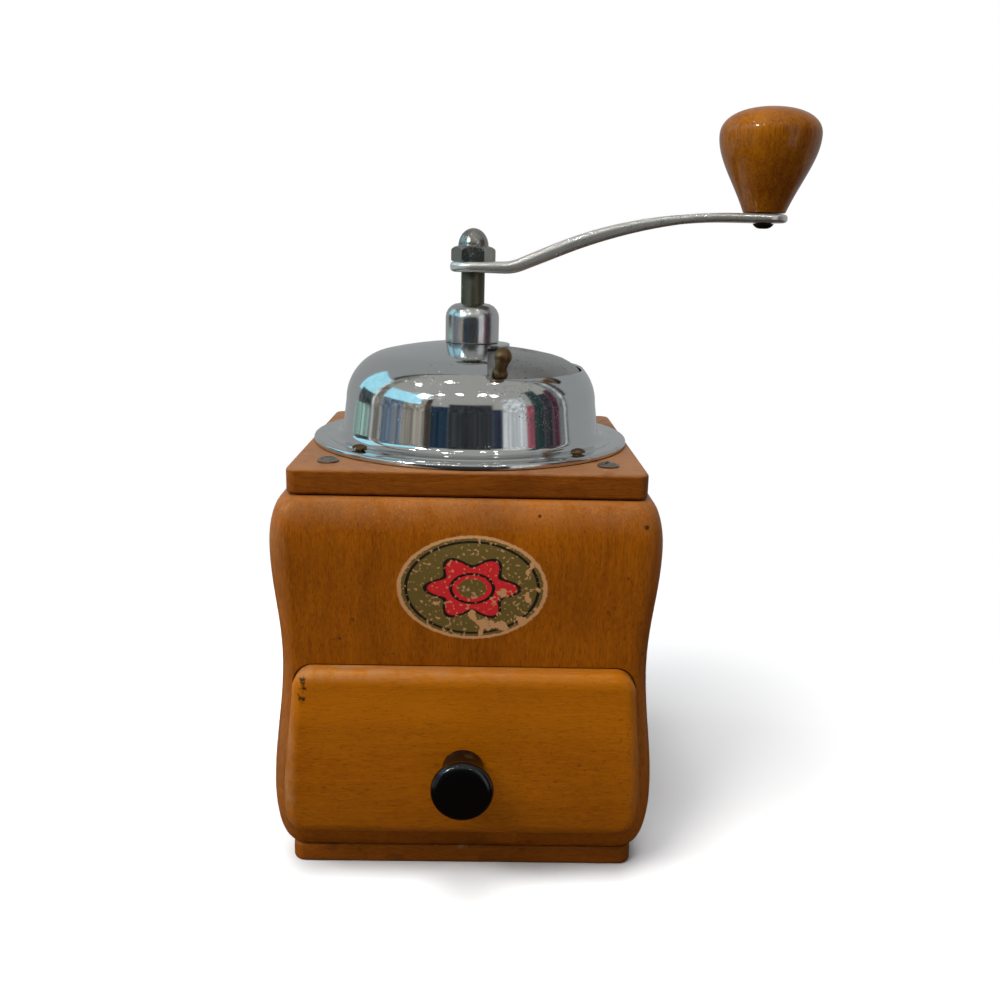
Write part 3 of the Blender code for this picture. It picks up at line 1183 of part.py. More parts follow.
def build_handle_knob(handle):
    """The pear-shaped wooden knob, about its own axis, its foot at level 0."""
    bore = HANDLE_PIN_RADIUS + GAP
    seat = KNOB_BELLY + KNOB_CROWN - KNOB_TOP_SEAT_DEPTH
    outline = [(bore, seat), (KNOB_TOP_SEAT_RADIUS, seat)]
    start = asin(KNOB_TOP_SEAT_RADIUS / KNOB_RADIUS)
    for i in range(KNOB_STEPS):
        angle = start + (pi / 2 - start) * i / KNOB_STEPS
        outline.append((KNOB_RADIUS * sin(angle), KNOB_BELLY + KNOB_CROWN * cos(angle)))
    for i in range(KNOB_STEPS + 1):
        share = 1 - i / KNOB_STEPS
        swell = share * (sin(pi / 2 * share) + 1 - share)
        outline.append((KNOB_FOOT_RADIUS + (KNOB_RADIUS - KNOB_FOOT_RADIUS) * swell,
                        KNOB_BELLY * share))
    outline.append((bore, 0))
    piece("handle_knob", turned(outline, LARGE_SEGMENTS), HONEY_WOOD, handle)


def build_drawer(drawer):
    rings = [at_level(drawer_front_outline(level), level) for level in drawer_front_levels()]
    front = piece("drawer_front", lofted(rings), HONEY_WOOD, drawer)
    hole = turned([(0, BODY_WIDTH), (DRAWER_SCREW_SHANK_RADIUS + GAP, BODY_WIDTH),
                   (DRAWER_SCREW_SHANK_RADIUS + GAP, DRAWER_BACK_FACE - OVERRUN),
                   (0, DRAWER_BACK_FACE - OVERRUN)], SMALL_SEGMENTS)
    bmesh.ops.transform(hole, verts=hole.verts, matrix=drawer_knob_matrix())
    combine(front, cutter("drawer_screw_hole", hole, drawer))
    for name, side in (("drawer_side_left", -1), ("drawer_side_right", 1)):
        outline = box_outline(side * DRAWER_INNER_HALF, -DRAWER_BOX_FRONT,
                              side * DRAWER_BOX_HALF, DRAWER_BOX_BACK)
        piece(name, prism(outline, DRAWER_BOX_BOTTOM, DRAWER_BOX_TOP), PLAIN_WOOD, drawer)
    inner = DRAWER_INNER_HALF - GAP
    back = box_outline(-inner, DRAWER_BOX_BACK - DRAWER_SIDE, inner, DRAWER_BOX_BACK)
    piece("drawer_back", prism(back, DRAWER_BOX_BOTTOM, DRAWER_BOX_TOP), PLAIN_WOOD, drawer)
    floor = box_outline(-inner, -DRAWER_BOX_FRONT, inner, DRAWER_BOX_BACK - DRAWER_SIDE - GAP)
    low = DRAWER_BOX_BOTTOM + DRAWER_FLOOR_RISE
    piece("drawer_floor", prism(floor, low, low + DRAWER_FLOOR), PLAIN_WOOD, drawer)


def drawer_knob_matrix():
    """Turns a piece made about Z so that it stands out of the drawer front along -Y."""
    return Matrix.Translation((0, 0, DRAWER_KNOB_LEVEL)) @ Matrix.Rotation(pi / 2, 4, 'X')


def build_drawer_knob(drawer):
    """A turned black knob on the drawer front, held by a screw from inside."""
    root = max(drawer_front_face(DRAWER_KNOB_LEVEL - DRAWER_KNOB_NECK_RADIUS),
               drawer_front_face(DRAWER_KNOB_LEVEL)) + GAP
    end = root + DRAWER_KNOB_LENGTH
    disc = end - DRAWER_KNOB_DISC
    bore = DRAWER_SCREW_SHANK_RADIUS + GAP
    neck_end = disc - DRAWER_KNOB_FLARE
    outline = [(0, root + DRAWER_SCREW_BITE + GAP), (bore, root + DRAWER_SCREW_BITE + GAP),
               (bore, root), (DRAWER_KNOB_NECK_RADIUS + DRAWER_KNOB_FLARE / 2, root),
               (DRAWER_KNOB_NECK_RADIUS, root + DRAWER_KNOB_FLARE * 2),
               (DRAWER_KNOB_NECK_RADIUS, neck_end),
               (DRAWER_KNOB_RADIUS - DRAWER_KNOB_FLARE, disc),
               (DRAWER_KNOB_RADIUS, disc + DRAWER_KNOB_FLARE),
               (DRAWER_KNOB_RADIUS, end - DRAWER_KNOB_EDGE),
               (DRAWER_KNOB_FACE_RADIUS + DRAWER_KNOB_EDGE / 2, end - DRAWER_KNOB_EDGE / 4),
               (DRAWER_KNOB_FACE_RADIUS, end), (0, end)]
    bm = turned(outline, MEDIUM_SEGMENTS, closed=False)
    bmesh.ops.transform(bm, verts=bm.verts, matrix=drawer_knob_matrix())
    piece("drawer_knob", bm, BLACK_KNOB, drawer)
    inside = DRAWER_BACK_FACE - GAP
    outline = [(0, root + DRAWER_SCREW_BITE), (DRAWER_SCREW_SHANK_RADIUS, root + DRAWER_SCREW_BITE),
               (DRAWER_SCREW_SHANK_RADIUS, inside), (DRAWER_SCREW_HEAD_RADIUS, inside),
               (DRAWER_SCREW_HEAD_RADIUS, inside - DRAWER_SCREW_HEAD / 2),
               (DRAWER_SCREW_HEAD_RADIUS / 2, inside - DRAWER_SCREW_HEAD),
               (0, inside - DRAWER_SCREW_HEAD)]
    shank = turned(outline, SMALL_SEGMENTS, closed=False)
    bmesh.ops.transform(shank, verts=shank.verts, matrix=drawer_knob_matrix())
    piece("drawer_knob_screw", shank, BRIGHT_STEEL, drawer)


def build_mill():
    clear_scene()
    case = pivot("case")
    build_plinth(case)
    build_body_boards(case)
    build_runners(case)
    build_top_plate(case)
    build_corner_blocks(case)
    build_corner_screws(case)
    build_dome(case)
    build_flange_screws(case)
    build_sleeve(case)
    build_bell(case)
    build_housing(case)
    build_housing_screws(case)
    build_burr_ring(case)
    build_upper_bridge(case)
    build_lower_bridge(case)
    build_lock_nut(case)

    shutter = pivot("shutter_pivot", parent=case)
    build_shutter(shutter)
    build_shutter_knob(shutter)

    lift = pivot("spindle_lift", parent=case)
    build_thrust_ball(lift)

    adjuster = pivot("adjuster_pivot", parent=lift)
    build_adjusting_screw(adjuster)

    crank = pivot("crank_pivot", parent=lift)
    build_spindle(crank)
    build_burr_cone(crank)
    build_burr_pin(crank)
    arm_top = build_arm(crank)
    build_cap_nut(crank)
    knob_bottom = build_handle_pin(crank, arm_top)

    handle = pivot("handle_pivot", (CRANK_RADIUS, 0, knob_bottom), crank)
    build_handle_knob(handle)

    drawer = pivot("drawer_slide", parent=case)
    build_drawer(drawer)
    build_drawer_knob(drawer)


build_mill()
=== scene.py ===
"""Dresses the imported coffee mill: finer shapes, aged finishes, studio and camera.

Lengths are metres in the frame's own axes: the drawer faces -Y, the crank
points along +X at rest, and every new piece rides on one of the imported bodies.
"""

from math import asin, cos, degrees, pi, radians, sin, sqrt, tan

import bmesh
import bpy
from mathutils import Matrix, Vector


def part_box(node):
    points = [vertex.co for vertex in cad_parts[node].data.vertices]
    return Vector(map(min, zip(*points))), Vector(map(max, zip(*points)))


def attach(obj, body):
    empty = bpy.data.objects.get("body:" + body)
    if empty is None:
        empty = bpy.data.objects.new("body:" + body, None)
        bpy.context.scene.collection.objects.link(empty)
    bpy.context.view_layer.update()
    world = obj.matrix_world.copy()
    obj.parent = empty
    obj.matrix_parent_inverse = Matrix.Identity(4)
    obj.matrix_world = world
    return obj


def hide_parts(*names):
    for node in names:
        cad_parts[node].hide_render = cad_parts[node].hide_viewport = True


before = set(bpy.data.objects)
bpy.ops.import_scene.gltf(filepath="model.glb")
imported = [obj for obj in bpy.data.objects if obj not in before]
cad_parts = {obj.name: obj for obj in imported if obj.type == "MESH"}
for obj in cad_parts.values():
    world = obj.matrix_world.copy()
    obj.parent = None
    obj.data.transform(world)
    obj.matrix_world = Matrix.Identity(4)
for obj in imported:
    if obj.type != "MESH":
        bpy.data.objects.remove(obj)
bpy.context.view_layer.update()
X, Y, Z = range(3)


def lowest(node, axis):
    """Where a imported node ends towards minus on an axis."""
    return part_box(node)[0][axis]


def highest(node, axis):
    """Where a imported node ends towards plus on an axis."""
    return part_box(node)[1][axis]


def middle(node, axis):
    """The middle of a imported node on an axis."""
    return (lowest(node, axis) + highest(node, axis)) / 2


# Facets and small roundings
ROUND_SEGMENTS = 96
DOME_SEGMENTS = 128
SMALL_SEGMENTS = 40
ARC_STEPS = 8
CORNER_STEPS = 6
EDGE_STEPS = 4
OUTLINE_STEPS = 5
MERGE_DISTANCE = 0.000002
SMOOTH_ANGLE = radians(33)
SHARP_ANGLE = radians(38)
SQUARE_ANGLE = radians(60)
SHEET_ANGLE = radians(50)
FLAT_ANGLE = radians(0.5)
EVEN_WEIGHT = 60
BOARD_END_ROUND = 0.0004
OVERRUN = 0.002

# Wooden body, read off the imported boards; its waist and bulges as shares of its height
BODY_BOTTOM = lowest("front_board", Z)
BODY_TOP = highest("front_board", Z)
BODY_HEIGHT = BODY_TOP - BODY_BOTTOM
BODY_HALF = highest("right_board", X)
CAVITY_HALF = lowest("right_board", X)
BOARD_REACH = highest("right_board", Y)
BODY_CORNER = 0.006
BODY_LEVELS = 44
LOWER_BULGE_SHARE = 0.176
WAIST_SHARE = 0.551
UPPER_BULGE_SHARE = 0.870
WAIST_DEPTH = 0.0030
UPPER_BULGE_INSET = 0.0005
SHOULDER_RUN = 0.0049
FOOT_RUN = 0.0055
JOINT_ROUND = 0.0003

# Drawer front, its seat in the front board and the way for its box
DRAWER_BOTTOM = lowest("drawer_front", Z)
DRAWER_TOP = highest("drawer_front", Z)
DRAWER_BACK = highest("drawer_front", Y)
DRAWER_INSET = 0.0044
DRAWER_PROUD = 0.0060
DRAWER_CORNER = 0.0066
DRAWER_EDGE = 0.0042
DRAWER_SEAT_GAP = 0.0004
DRAWER_SEAT = DRAWER_BACK + 0.0003
DRAWER_BOX_ROOM = 0.0004
DRAWER_BOX_CORNER = 0.0004
DRAWER_LEVELS = 24

# Black drawer knob, its outline from the root outwards and how far its corners are rounded
KNOB_LEVEL = middle("drawer_knob", Z)
KNOB_ROOT = highest("drawer_knob", Y)
KNOB_END = lowest("drawer_knob", Y)
KNOB_RADIUS = (highest("drawer_knob", Z) - lowest("drawer_knob", Z)) / 2
KNOB_LENGTH = KNOB_ROOT - KNOB_END
KNOB_FLARE = KNOB_LENGTH - 0.0045
KNOB_OUTLINE = (
    (0, 0), (0.0066, 0), (0.0060, 0.0022), (0.0060, KNOB_FLARE - 0.0012),
    (KNOB_RADIUS - 0.0012, KNOB_FLARE), (KNOB_RADIUS, KNOB_FLARE + 0.0012),
    (KNOB_RADIUS, KNOB_LENGTH - 0.0016), (KNOB_RADIUS - 0.0013, KNOB_LENGTH - 0.0003),
    (0, KNOB_LENGTH))
KNOB_ROUNDING = ((1, 0.0004), (3, 0.0011), (4, 0.0009), (5, 0.0008), (6, 0.0009), (7, 0.0010))

# Plinth and top board
PLINTH_HALF = highest("plinth", X)
PLINTH_TOP = highest("plinth", Z)
PLINTH_CORNER = 0.004
PLINTH_EDGE = 0.0012
PLATE_HALF = highest("top_plate", X)
PLATE_BOTTOM = lowest("top_plate", Z)
PLATE_TOP = highest("top_plate", Z)
PLATE_CORNER = 0.0035
PLATE_EDGE = 0.0011
PLATE_HOLE_RADIUS = 0.036

# Slotted screws: head's radius and height, shank's radius, and how each one's slot is turned
SCREW_CORNERS = ("front_left", "front_right", "back_right", "back_left")
PLATE_SCREW = (0.0034, 0.0013, 0.0018)
PLATE_SCREW_TURNS = (18, 64, -12, 40)
FLANGE_SCREW = (0.0024, 0.0012, 0.0013)
FLANGE_SCREW_TURNS = (25, -30, 75, 10)
SLOT_WIDTH = 0.0008
SLOT_DEPTH = 0.0007
SCREW_DOME_SHARE = 1.6
SCREW_DOME_ARC = (84, 54, 5)
SCREW_DOME_REACH = 0.95
SCREW_RIM_SHARE = 0.30
SCREW_RIM_ROUND = 0.0002
SCREW_FOOT_ROUND = 0.00015

# Hopper dome, pressed from sheet
CROWN_LEVEL = highest("hopper_dome", Z)
FLANGE_RADIUS = highest("hopper_dome", X)
RIM_FOOT = lowest("hopper_dome", Z)
FLANGE_TOP = PLATE_TOP + 0.0024
DOME_BORE_RADIUS = 0.0053
DOME_WALL_RADIUS = 0.0431
DOME_FOOT_RADIUS = 0.0442
CROWN_RADIUS = 0.132
SHOULDER_RADIUS = 0.017
DOME_SHEET = 0.0008
DOME_EDGE = 0.0002
FLANGE_FILLET = 0.003
FLANGE_STEP_RADIUS = 0.0497
FLANGE_STEP = 0.00035
RIM_ROUND = 0.0009
WINDOW_INNER_RADIUS = 0.013
WINDOW_OUTER_RADIUS = 0.0385
WINDOW_EDGE = 0.0053

# Shutter under the dome, and its acorn knob's outline from the tip down
SHUTTER_OFFSET = 0.0014
SHUTTER_SHEET = 0.0007
SHUTTER_SHEET_EDGE = 0.00018
SHUTTER_FOOT = lowest("shutter_plate", Z)
SHUTTER_EDGE = -0.0016
SHUTTER_HUB_RADIUS = 0.0112
ACORN_PLACE_RADIUS = 0.0356
ACORN_TURN = radians(15)
ACORN_LEAN = radians(28)
ACORN_TIP = [(0, 0.0102), (0.0006, 0.0101)]
ACORN_BALL_LEVEL = 0.0073
ACORN_BALL_RADIUS = 0.0028
ACORN_BALL_ARC = (66, -32, 10)
ACORN_STEM = [
    (0.0021, 0.0048), (0.0019, 0.0036), (0.0018, 0.0026), (0.0025, 0.0017), (0.0025, 0.0003),
    (0.0012, 0.0003), (0.0012, -0.0013), (0.0022, -0.0013), (0.0012, -0.0021), (0, -0.0021)]
ACORN_ROUNDING = ((1, 0.0003), (13, 0.0008), (14, 0.0006), (15, 0.0004), (16, 0.0004), (17, 0.0003))

# Bell and spindle
BELL_RADIUS = highest("bearing_bell", X)
BELL_TOP = highest("bearing_bell", Z)
BELL_WALL = 0.0012
BELL_ROOF = 0.002
BELL_SHOULDER = 0.0048
BELL_RIM_ROUND = 0.0003
BELL_FOOT_GAP = 0.00004
SPINDLE_RADIUS = 0.004
SPINDLE_GAP = 0.0001
SPINDLE_ROUND = 0.0004
SPINDLE_BOTTOM = lowest("spindle", Z)
SPINDLE_TOP = highest("spindle", Z)

# Crank arm: flat at the hub, bent up, straight, then swept over to flat again
ARM_BOTTOM = lowest("crank_arm", Z)
ARM_END_TOP = highest("crank_arm", Z)
CRANK_RADIUS = middle("handle_washer", X)
ARM_WIDTH = 0.0156
ARM_WAIST_WIDTH = 0.0126
ARM_HUB_THICKNESS = 0.0034
ARM_END_THICKNESS = 0.0028
ARM_BEND_START = 0.0105
ARM_BEND_RADIUS = 0.014
ARM_RISE_ANGLE = radians(22.5)
ARM_STRAIGHT = 0.01286
ARM_SWELL = 0.33
ARM_SWELL_SHARE = 0.72
ARM_FLAT_LENGTH = 0.0107
ARM_STATIONS = 56
ARM_ROUND = 0.00135

# Cap nut
NUT_BOTTOM = lowest("cap_nut", Z) - 0.00025
NUT_TOP = highest("cap_nut", Z)
NUT_FLATS = 0.013
NUT_HEX_HEIGHT = 0.0050
NUT_CHAMFER = 0.0010
NUT_SHOULDER = 0.0015
NUT_FOOT_CHAMFER = 0.0004
NUT_ACORN_RADIUS = 0.0051
NUT_ACORN_STEPS = 12
NUT_OUTLINE_ROUND = 0.0005
NUT_EDGE = 0.00025
NUT_ANGLE = radians(35)

# Handle, its washer and its rivet
WASHER_RADIUS = highest("handle_washer", X) - CRANK_RADIUS
PIN_RADIUS = 0.0026
PIN_HEAD_RADIUS = 0.0034
PIN_HEAD_DOME = 0.0014
PIN_HEAD_RISE = 0.0012
PIN_HEAD_GAP = 0.0003
PIN_TOP_DEPTH = 0.0011
PIN_TOP_EDGE = 0.0003
PIN_ROUNDING = ((1, 0.0009), (2, 0.0005), (7, 0.0002))
WASHER_ROUNDING = ((1, 0.0002), (2, 0.0003))
HANDLE_FOOT = lowest("handle_knob", Z)
HANDLE_TOP = highest("handle_knob", Z)
HANDLE_BELLY = 0.0235
HANDLE_CROWN = 0.0090
HANDLE_RADIUS = 0.0165
HANDLE_FOOT_RADIUS = 0.0069
HANDLE_SEAT_RADIUS = 0.0044
HANDLE_SEAT_DEPTH = 0.0014
HANDLE_CROWN_POWER = 2.30
HANDLE_STEPS = 20
HANDLE_EDGE = 0.0004
COLLAR_RECESS = 0.0003

# The photograph's camera, worked out from the square top board
CAMERA_PLACE = Vector((0.00434, -0.34805, PLATE_TOP + 0.06523))
CAMERA_YAW = radians(1.0755)
CAMERA_PITCH = radians(-14.1255)
CAMERA_ROLL = radians(1.2985)
CAMERA_LENS = 36.036
CAMERA_SENSOR = 36
CAMERA_NEAR = 0.01


# Shaping

def arc(centre, radius, start, end, steps=ARC_STEPS):
    """Points on an arc from one angle in degrees to another, both included."""
    points = []
    for step in range(steps + 1):
        angle = radians(start + (end - start) * step / steps)
        points.append((centre[0] + radius * cos(angle), centre[1] + radius * sin(angle)))
    return points


def everything(bm):
    """All of a bmesh, for the operators that ask for it."""
    return bm.verts[:] + bm.edges[:] + bm.faces[:]


def around(faces):
    """Some faces, with their edges and vertices."""
    parts = set(faces)
    for face in faces:
        parts.update(face.edges)
        parts.update(face.verts)
    return list(parts)


def verts_in(geometry):
    """The vertices among what an operator made."""
    return [part for part in geometry if isinstance(part, bmesh.types.BMVert)]


def edges_in(geometry):
    """The edges among what an operator made."""
    return [part for part in geometry if isinstance(part, bmesh.types.BMEdge)]


def merged(bm):
    """Weld what lies together and point every face outwards."""
    bmesh.ops.remove_doubles(bm, verts=bm.verts, dist=MERGE_DISTANCE)
    bmesh.ops.recalc_face_normals(bm, faces=bm.faces)
    return bm


def moved(bm, matrix):
    """Put a shape in its place."""
    bmesh.ops.transform(bm, matrix=matrix, verts=bm.verts)
    return bm


def cornered(bm, verts, reach, steps):
    """Round corners of a flat outline."""
    bmesh.ops.bevel(bm, geom=verts, offset=reach, offset_type='OFFSET', segments=steps,
                    profile=0.5, affect='VERTICES', material=-1)
    return bm


def softened(bm, width, segments=2, angle=SHARP_ANGLE):
    """Round every edge that is sharper than an angle."""
    edges = [edge for edge in bm.edges if edge.is_manifold and edge.calc_face_angle() > angle]
    bmesh.ops.bevel(bm, geom=edges, offset=width, offset_type='OFFSET', segments=segments,
                    profile=0.5, affect='EDGES', clamp_overlap=True, material=-1)
    return bm


def turned(points, rounding=(), segments=ROUND_SEGMENTS, closed=False):
    """A shape turned about Z from (radius, level) points.

    Rounding names corners of the outline and how far to round each one.
    """
    bm = bmesh.new()
    verts = [bm.verts.new((radius, 0, level)) for radius, level in points]
    ends = verts[1:] + verts[:1] if closed else verts[1:]
    for start, end in zip(verts, ends):
        bm.edges.new((start, end))
    for corner, reach in rounding:
        cornered(bm, [verts[corner]], reach, OUTLINE_STEPS)
    bmesh.ops.spin(bm, geom=bm.verts[:] + bm.edges[:], cent=(0, 0, 0), axis=(0, 0, 1),
                   angle=2 * pi, steps=segments, use_merge=True)
    return merged(bm)


def sliced(bm, place, direction):
    """Cut off what lies beyond a plane and close the cut."""
    cut = bmesh.ops.bisect_plane(bm, geom=everything(bm), plane_co=place, plane_no=direction,
                                 clear_outer=True)
    bmesh.ops.edgeloop_fill(bm, edges=edges_in(cut["geom_cut"]))
    return bm


def oblong(half_width, half_height, corner, steps, place):
    """A flat oblong with rounded corners, put in its place."""
    bm = bmesh.new()
    bmesh.ops.create_grid(bm, x_segments=1, y_segments=1, size=1)
    moved(bm, place @ Matrix.Diagonal((half_width, half_height, 1, 1)))
    return cornered(bm, bm.verts[:], corner, steps)


def drawn_out(bm, shift):
    """Draw a flat shape out into a block."""
    grown = bmesh.ops.extrude_face_region(bm, geom=bm.faces[:])
    bmesh.ops.translate(bm, verts=verts_in(grown["geom"]), vec=shift)
    return merged(bm)


def slab(half_x, half_y, bottom, top, corner, edge):
    """A board with rounded upright corners and rounded edges."""
    bm = oblong(half_x, half_y, corner, CORNER_STEPS, Matrix.Translation((0, 0, bottom)))
    drawn_out(bm, (0, 0, top - bottom))
    return softened(bm, edge, EDGE_STEPS, SQUARE_ANGLE) if edge else bm


def linked(name, data):
    """Put a mesh, a lamp or a camera into the scene."""
    thing = bpy.data.objects.new(name, data)
    bpy.context.scene.collection.objects.link(thing)
    return thing


def solid(name, bm):
    """Turn a bmesh into an object of the scene."""
    mesh = bpy.data.meshes.new(name)
    bm.to_mesh(mesh)
    bm.free()
    return linked(name, mesh)


def carved(bm, tool):
    """Cut one shape out of another."""
    work = solid("temporary", bm)
    knife = solid("temporary", tool)
    cut = work.modifiers.new("cut", 'BOOLEAN')
    cut.operation = 'DIFFERENCE'
    cut.solver = 'EXACT'
    cut.object = knife
    mesh = work.evaluated_get(bpy.context.evaluated_depsgraph_get()).to_mesh()
    result = bmesh.new()
    result.from_mesh(mesh)
    for thing in (work, knife):
        bpy.data.objects.remove(thing, do_unlink=True)
    return merged(result)


def sheeted(bm, thickness, edge):
    """Give a skin its wall, grown inwards, and round its edges."""
    bmesh.ops.solidify(bm, geom=bm.faces[:], thickness=thickness)
    return softened(merged(bm), edge, 2, SHEET_ANGLE)


def finished(name, bm, body, finish, node_name, even=False):
    """Make a shape a piece of the mill: smooth, finished, on its body, in place of its node."""
    piece = solid(name, bm)
    mesh = piece.data
    mesh.shade_smooth()
    mesh.set_sharp_from_angle(angle=SMOOTH_ANGLE)
    mesh.materials.append(finish.material)
    if even:
        weighted = piece.modifiers.new("even_faces", 'WEIGHTED_NORMAL')
        weighted.keep_sharp = True
        weighted.weight = EVEN_WEIGHT
    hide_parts(node_name)
    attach(piece, body)
    return piece


# Node building

class Field:
    """A value, colour or place that changes over a surface, with plain signs for its sums."""

    def __init__(self, tree, socket):
        self.tree = tree
        self.socket = socket

    def reckon(self, operation, *others, clamp=False):
        """A sum of this value and up to two others."""
        values = dict(enumerate((self,) + others))
        return field(self.tree, "Math", values, operation=operation, use_clamp=clamp)

    def __add__(self, other):
        return self.reckon('ADD', other)

    def __sub__(self, other):
        return self.reckon('SUBTRACT', other)

    def __mul__(self, other):
        return self.reckon('MULTIPLY', other)

    def __truediv__(self, other):
        return self.reckon('DIVIDE', other)

    def __abs__(self):
        return self.reckon('ABSOLUTE')

    def most(self, other):
        """The larger of two values."""
        return self.reckon('MAXIMUM', other)

    def scaled(self, factor, start):
        """This value times a factor, from a start."""
        return self.reckon('MULTIPLY_ADD', factor, start)

    def swing(self, reach):
        """Noise from 0 to 1 made a swing of some reach about nought."""
        return self.scaled(reach, -reach / 2)

    def rise(self, low, high):
        """A soft step from 0 at low to 1 at high."""
        return field(self.tree, "MapRange", {"Value": self, "From Min": low, "From Max": high},
                     interpolation_type='SMOOTHSTEP')

    def near(self, edge, start, full):
        """A soft step that starts and is full at two distances short of an edge."""
        return self.rise(edge - start, edge - full)

    def between(self, low, high, soft):
        """1 between two limits, with soft ends."""
        return self.rise(low - soft, low + soft) * self.rise(high + soft, high - soft)

    def spread(self, low, high):
        """A 0 to 1 value spread evenly between low and high."""
        return field(self.tree, "MapRange", {"Value": self, "To Min": low, "To Max": high})

    def noise(self, scale, detail=2.0, roughness=0.5):
        """Soft noise at these places with about that many bumps to the metre."""
        return field(self.tree, "TexNoise", {"Vector": self, "Scale": scale, "Detail": detail,
                                             "Roughness": roughness})

    def blend(self, first, second):
        """The first colour where this is 0 and the second where it is 1."""
        return field(self.tree, "Mix", {0: self, 6: first, 7: second}, 2, data_type='RGBA')


def feed(tree, socket, value):
    """Give a socket a value, or lead a field to it."""
    if isinstance(value, Field):
        tree.links.new(value.socket, socket)
    else:
        socket.default_value = value


def node(tree, kind, inputs=None, **settings):
    """Add a node with its settings and inputs."""
    made = tree.nodes.new("ShaderNode" + kind)
    for name, value in settings.items():
        setattr(made, name, value)
    for name, value in (inputs or {}).items():
        feed(tree, made.inputs[name], value)
    return made


def field(tree, kind, inputs=None, output=0, **settings):
    """Add a node and take one of its outputs."""
    return Field(tree, node(tree, kind, inputs, **settings).outputs[output])


def placed(tree, stretch=(1, 1, 1), shift=(0, 0, 0)):
    """Places on the piece, scaled and shifted."""
    places = field(tree, "TexCoord", output="Object")
    return field(tree, "Mapping", {"Vector": places, "Location": shift, "Scale": stretch})


def apart(place):
    """A place's three values."""
    made = node(place.tree, "SeparateXYZ", {"Vector": place})
    return [Field(place.tree, output) for output in made.outputs]


def far_from(first, second, centre=(0, 0)):
    """How far two values lie from a centre."""
    run = first - centre[0]
    climb = second - centre[1]
    return (run * run + climb * climb).reckon('SQRT')


def new_group(name, inputs, outputs):
    """An empty node group, with its named inputs and outputs."""
    tree = bpy.data.node_groups.new(name, 'ShaderNodeTree')
    for label, kind, value in inputs:
        socket = tree.interface.new_socket(label, in_out='INPUT', socket_type="NodeSocket" + kind)
        if value is not None:
            socket.default_value = value
    for label, kind in outputs:
        tree.interface.new_socket(label, in_out='OUTPUT', socket_type="NodeSocket" + kind)
    sockets = tree.nodes.new("NodeGroupInput").outputs
    given = {label: Field(tree, sockets[label]) for label, kind, value in inputs}
    result = tree.nodes.new("NodeGroupOutput").inputs
    return tree, given, result


def new_material(name):
    """A material with Blender's own first nodes, and its node tree."""
    material = bpy.data.materials.new(name)
    material.use_nodes = True
    return material, material.node_tree


# Patterns in wood and metal: bumps to the metre, detail and roughness of each noise
SWAY = (16, 1)
FIBRES = (3200, 3, 0.7)
STREAKS = (700, 3, 0.6)
BANDS = (75, 2)
BLOTCHES = (30, 2)
PORES = (3600, 1, 0.4)
RAGGED = (260, 4, 0.7)
PATCHY = (60, 1)
FINE_PITS = (1800, 2)
PIT_PATCHES = (75, 3, 0.6)
HAZE_CLOUDS = (45, 5, 0.65)
SCRATCHES = (900, 1)
PORE_TURN = 0.10
GRAIN_STRETCH = 0.07
GRAIN_DEPTH = 0.00008
PIT_DEPTH = 0.00003
KNOB_RIPPLE_DEPTH = 0.00002
BUMP_STRENGTH = 0.6


def grain_group():
    """Wood: long streaks, slow bands and short dark pores, all along the grain."""
    tree, given, result = new_group(
        "wood_grain",
        (("Along", "Vector", None), ("Place", "Vector", None), ("Light", "Color", None),
         ("Dark", "Color", None), ("Pore", "Color", None), ("Contrast", "Float", 1.0)),
        (("Color", "Color"), ("Height", "Float")))
    place = given["Place"]
    wander = place.noise(*SWAY).swing(0.006)
    along = field(tree, "VectorMath", {0: given["Along"], 1: wander}, operation='ADD')
    short = field(tree, "Mix", {0: PORE_TURN, 4: along, 5: place}, 1, data_type='VECTOR')
    fibres = along.noise(*FIBRES)
    pores = short.noise(*PORES).rise(0.58, 0.70)
    swing = along.noise(*STREAKS).swing(1.0) + along.noise(*BANDS).swing(1.2)
    swing = swing + place.noise(*BLOTCHES).swing(1.1) + fibres.swing(2.4)
    tone = swing.reckon('MULTIPLY_ADD', given["Contrast"], 0.5, clamp=True)
    colour = tone.blend(given["Dark"], given["Light"])
    feed(tree, result["Color"], (pores * 0.45).blend(colour, given["Pore"]))
    feed(tree, result["Height"], fibres * 0.5 - pores * 0.8)
    return tree


def wear_group():
    """Rubbed spots: broken up where a nearness mask is high."""
    tree, given, result = new_group(
        "rubbed_edge",
        (("Place", "Vector", None), ("Nearness", "Float", 0.0), ("Amount", "Float", 1.0)),
        (("Wear", "Float"),))
    place = given["Place"]
    broken = place.noise(*RAGGED) + place.noise(*PATCHY) * 0.5
    wear = broken * 0.8 + given["Nearness"] * given["Amount"]
    feed(tree, result["Wear"], wear.rise(1.05, 1.3))
    return tree


def metal_group():
    """Old metal: fine pits, cloudy haze and light scratches."""
    tree, given, result = new_group(
        "old_metal",
        (("Place", "Vector", None), ("Pits", "Float", 0.5), ("Haze", "Float", 0.5)),
        (("Pit", "Float"), ("Cloud", "Float"), ("Height", "Float")))
    place = given["Place"]
    patches = place.noise(*PIT_PATCHES).rise(0.42, 0.66)
    limit = (patches * given["Pits"]).scaled(-0.16, 0.78)
    pits = (place.noise(*FINE_PITS) - limit).rise(0.0, 0.04)
    cloud = place.noise(*HAZE_CLOUDS) * given["Haze"]
    lines = field(tree, "Mapping", {"Vector": place, "Scale": (1, 0.08, 0.5),
                                    "Rotation": (0.4, 0.3, 0.6)})
    scratches = lines.noise(*SCRATCHES).rise(0.68, 0.76)
    feed(tree, result["Pit"], pits)
    feed(tree, result["Cloud"], cloud)
    feed(tree, result["Height"], scratches * -0.3 - pits + cloud * 0.25)
    return tree


GRAIN = grain_group()
WEAR = wear_group()
METAL = metal_group()


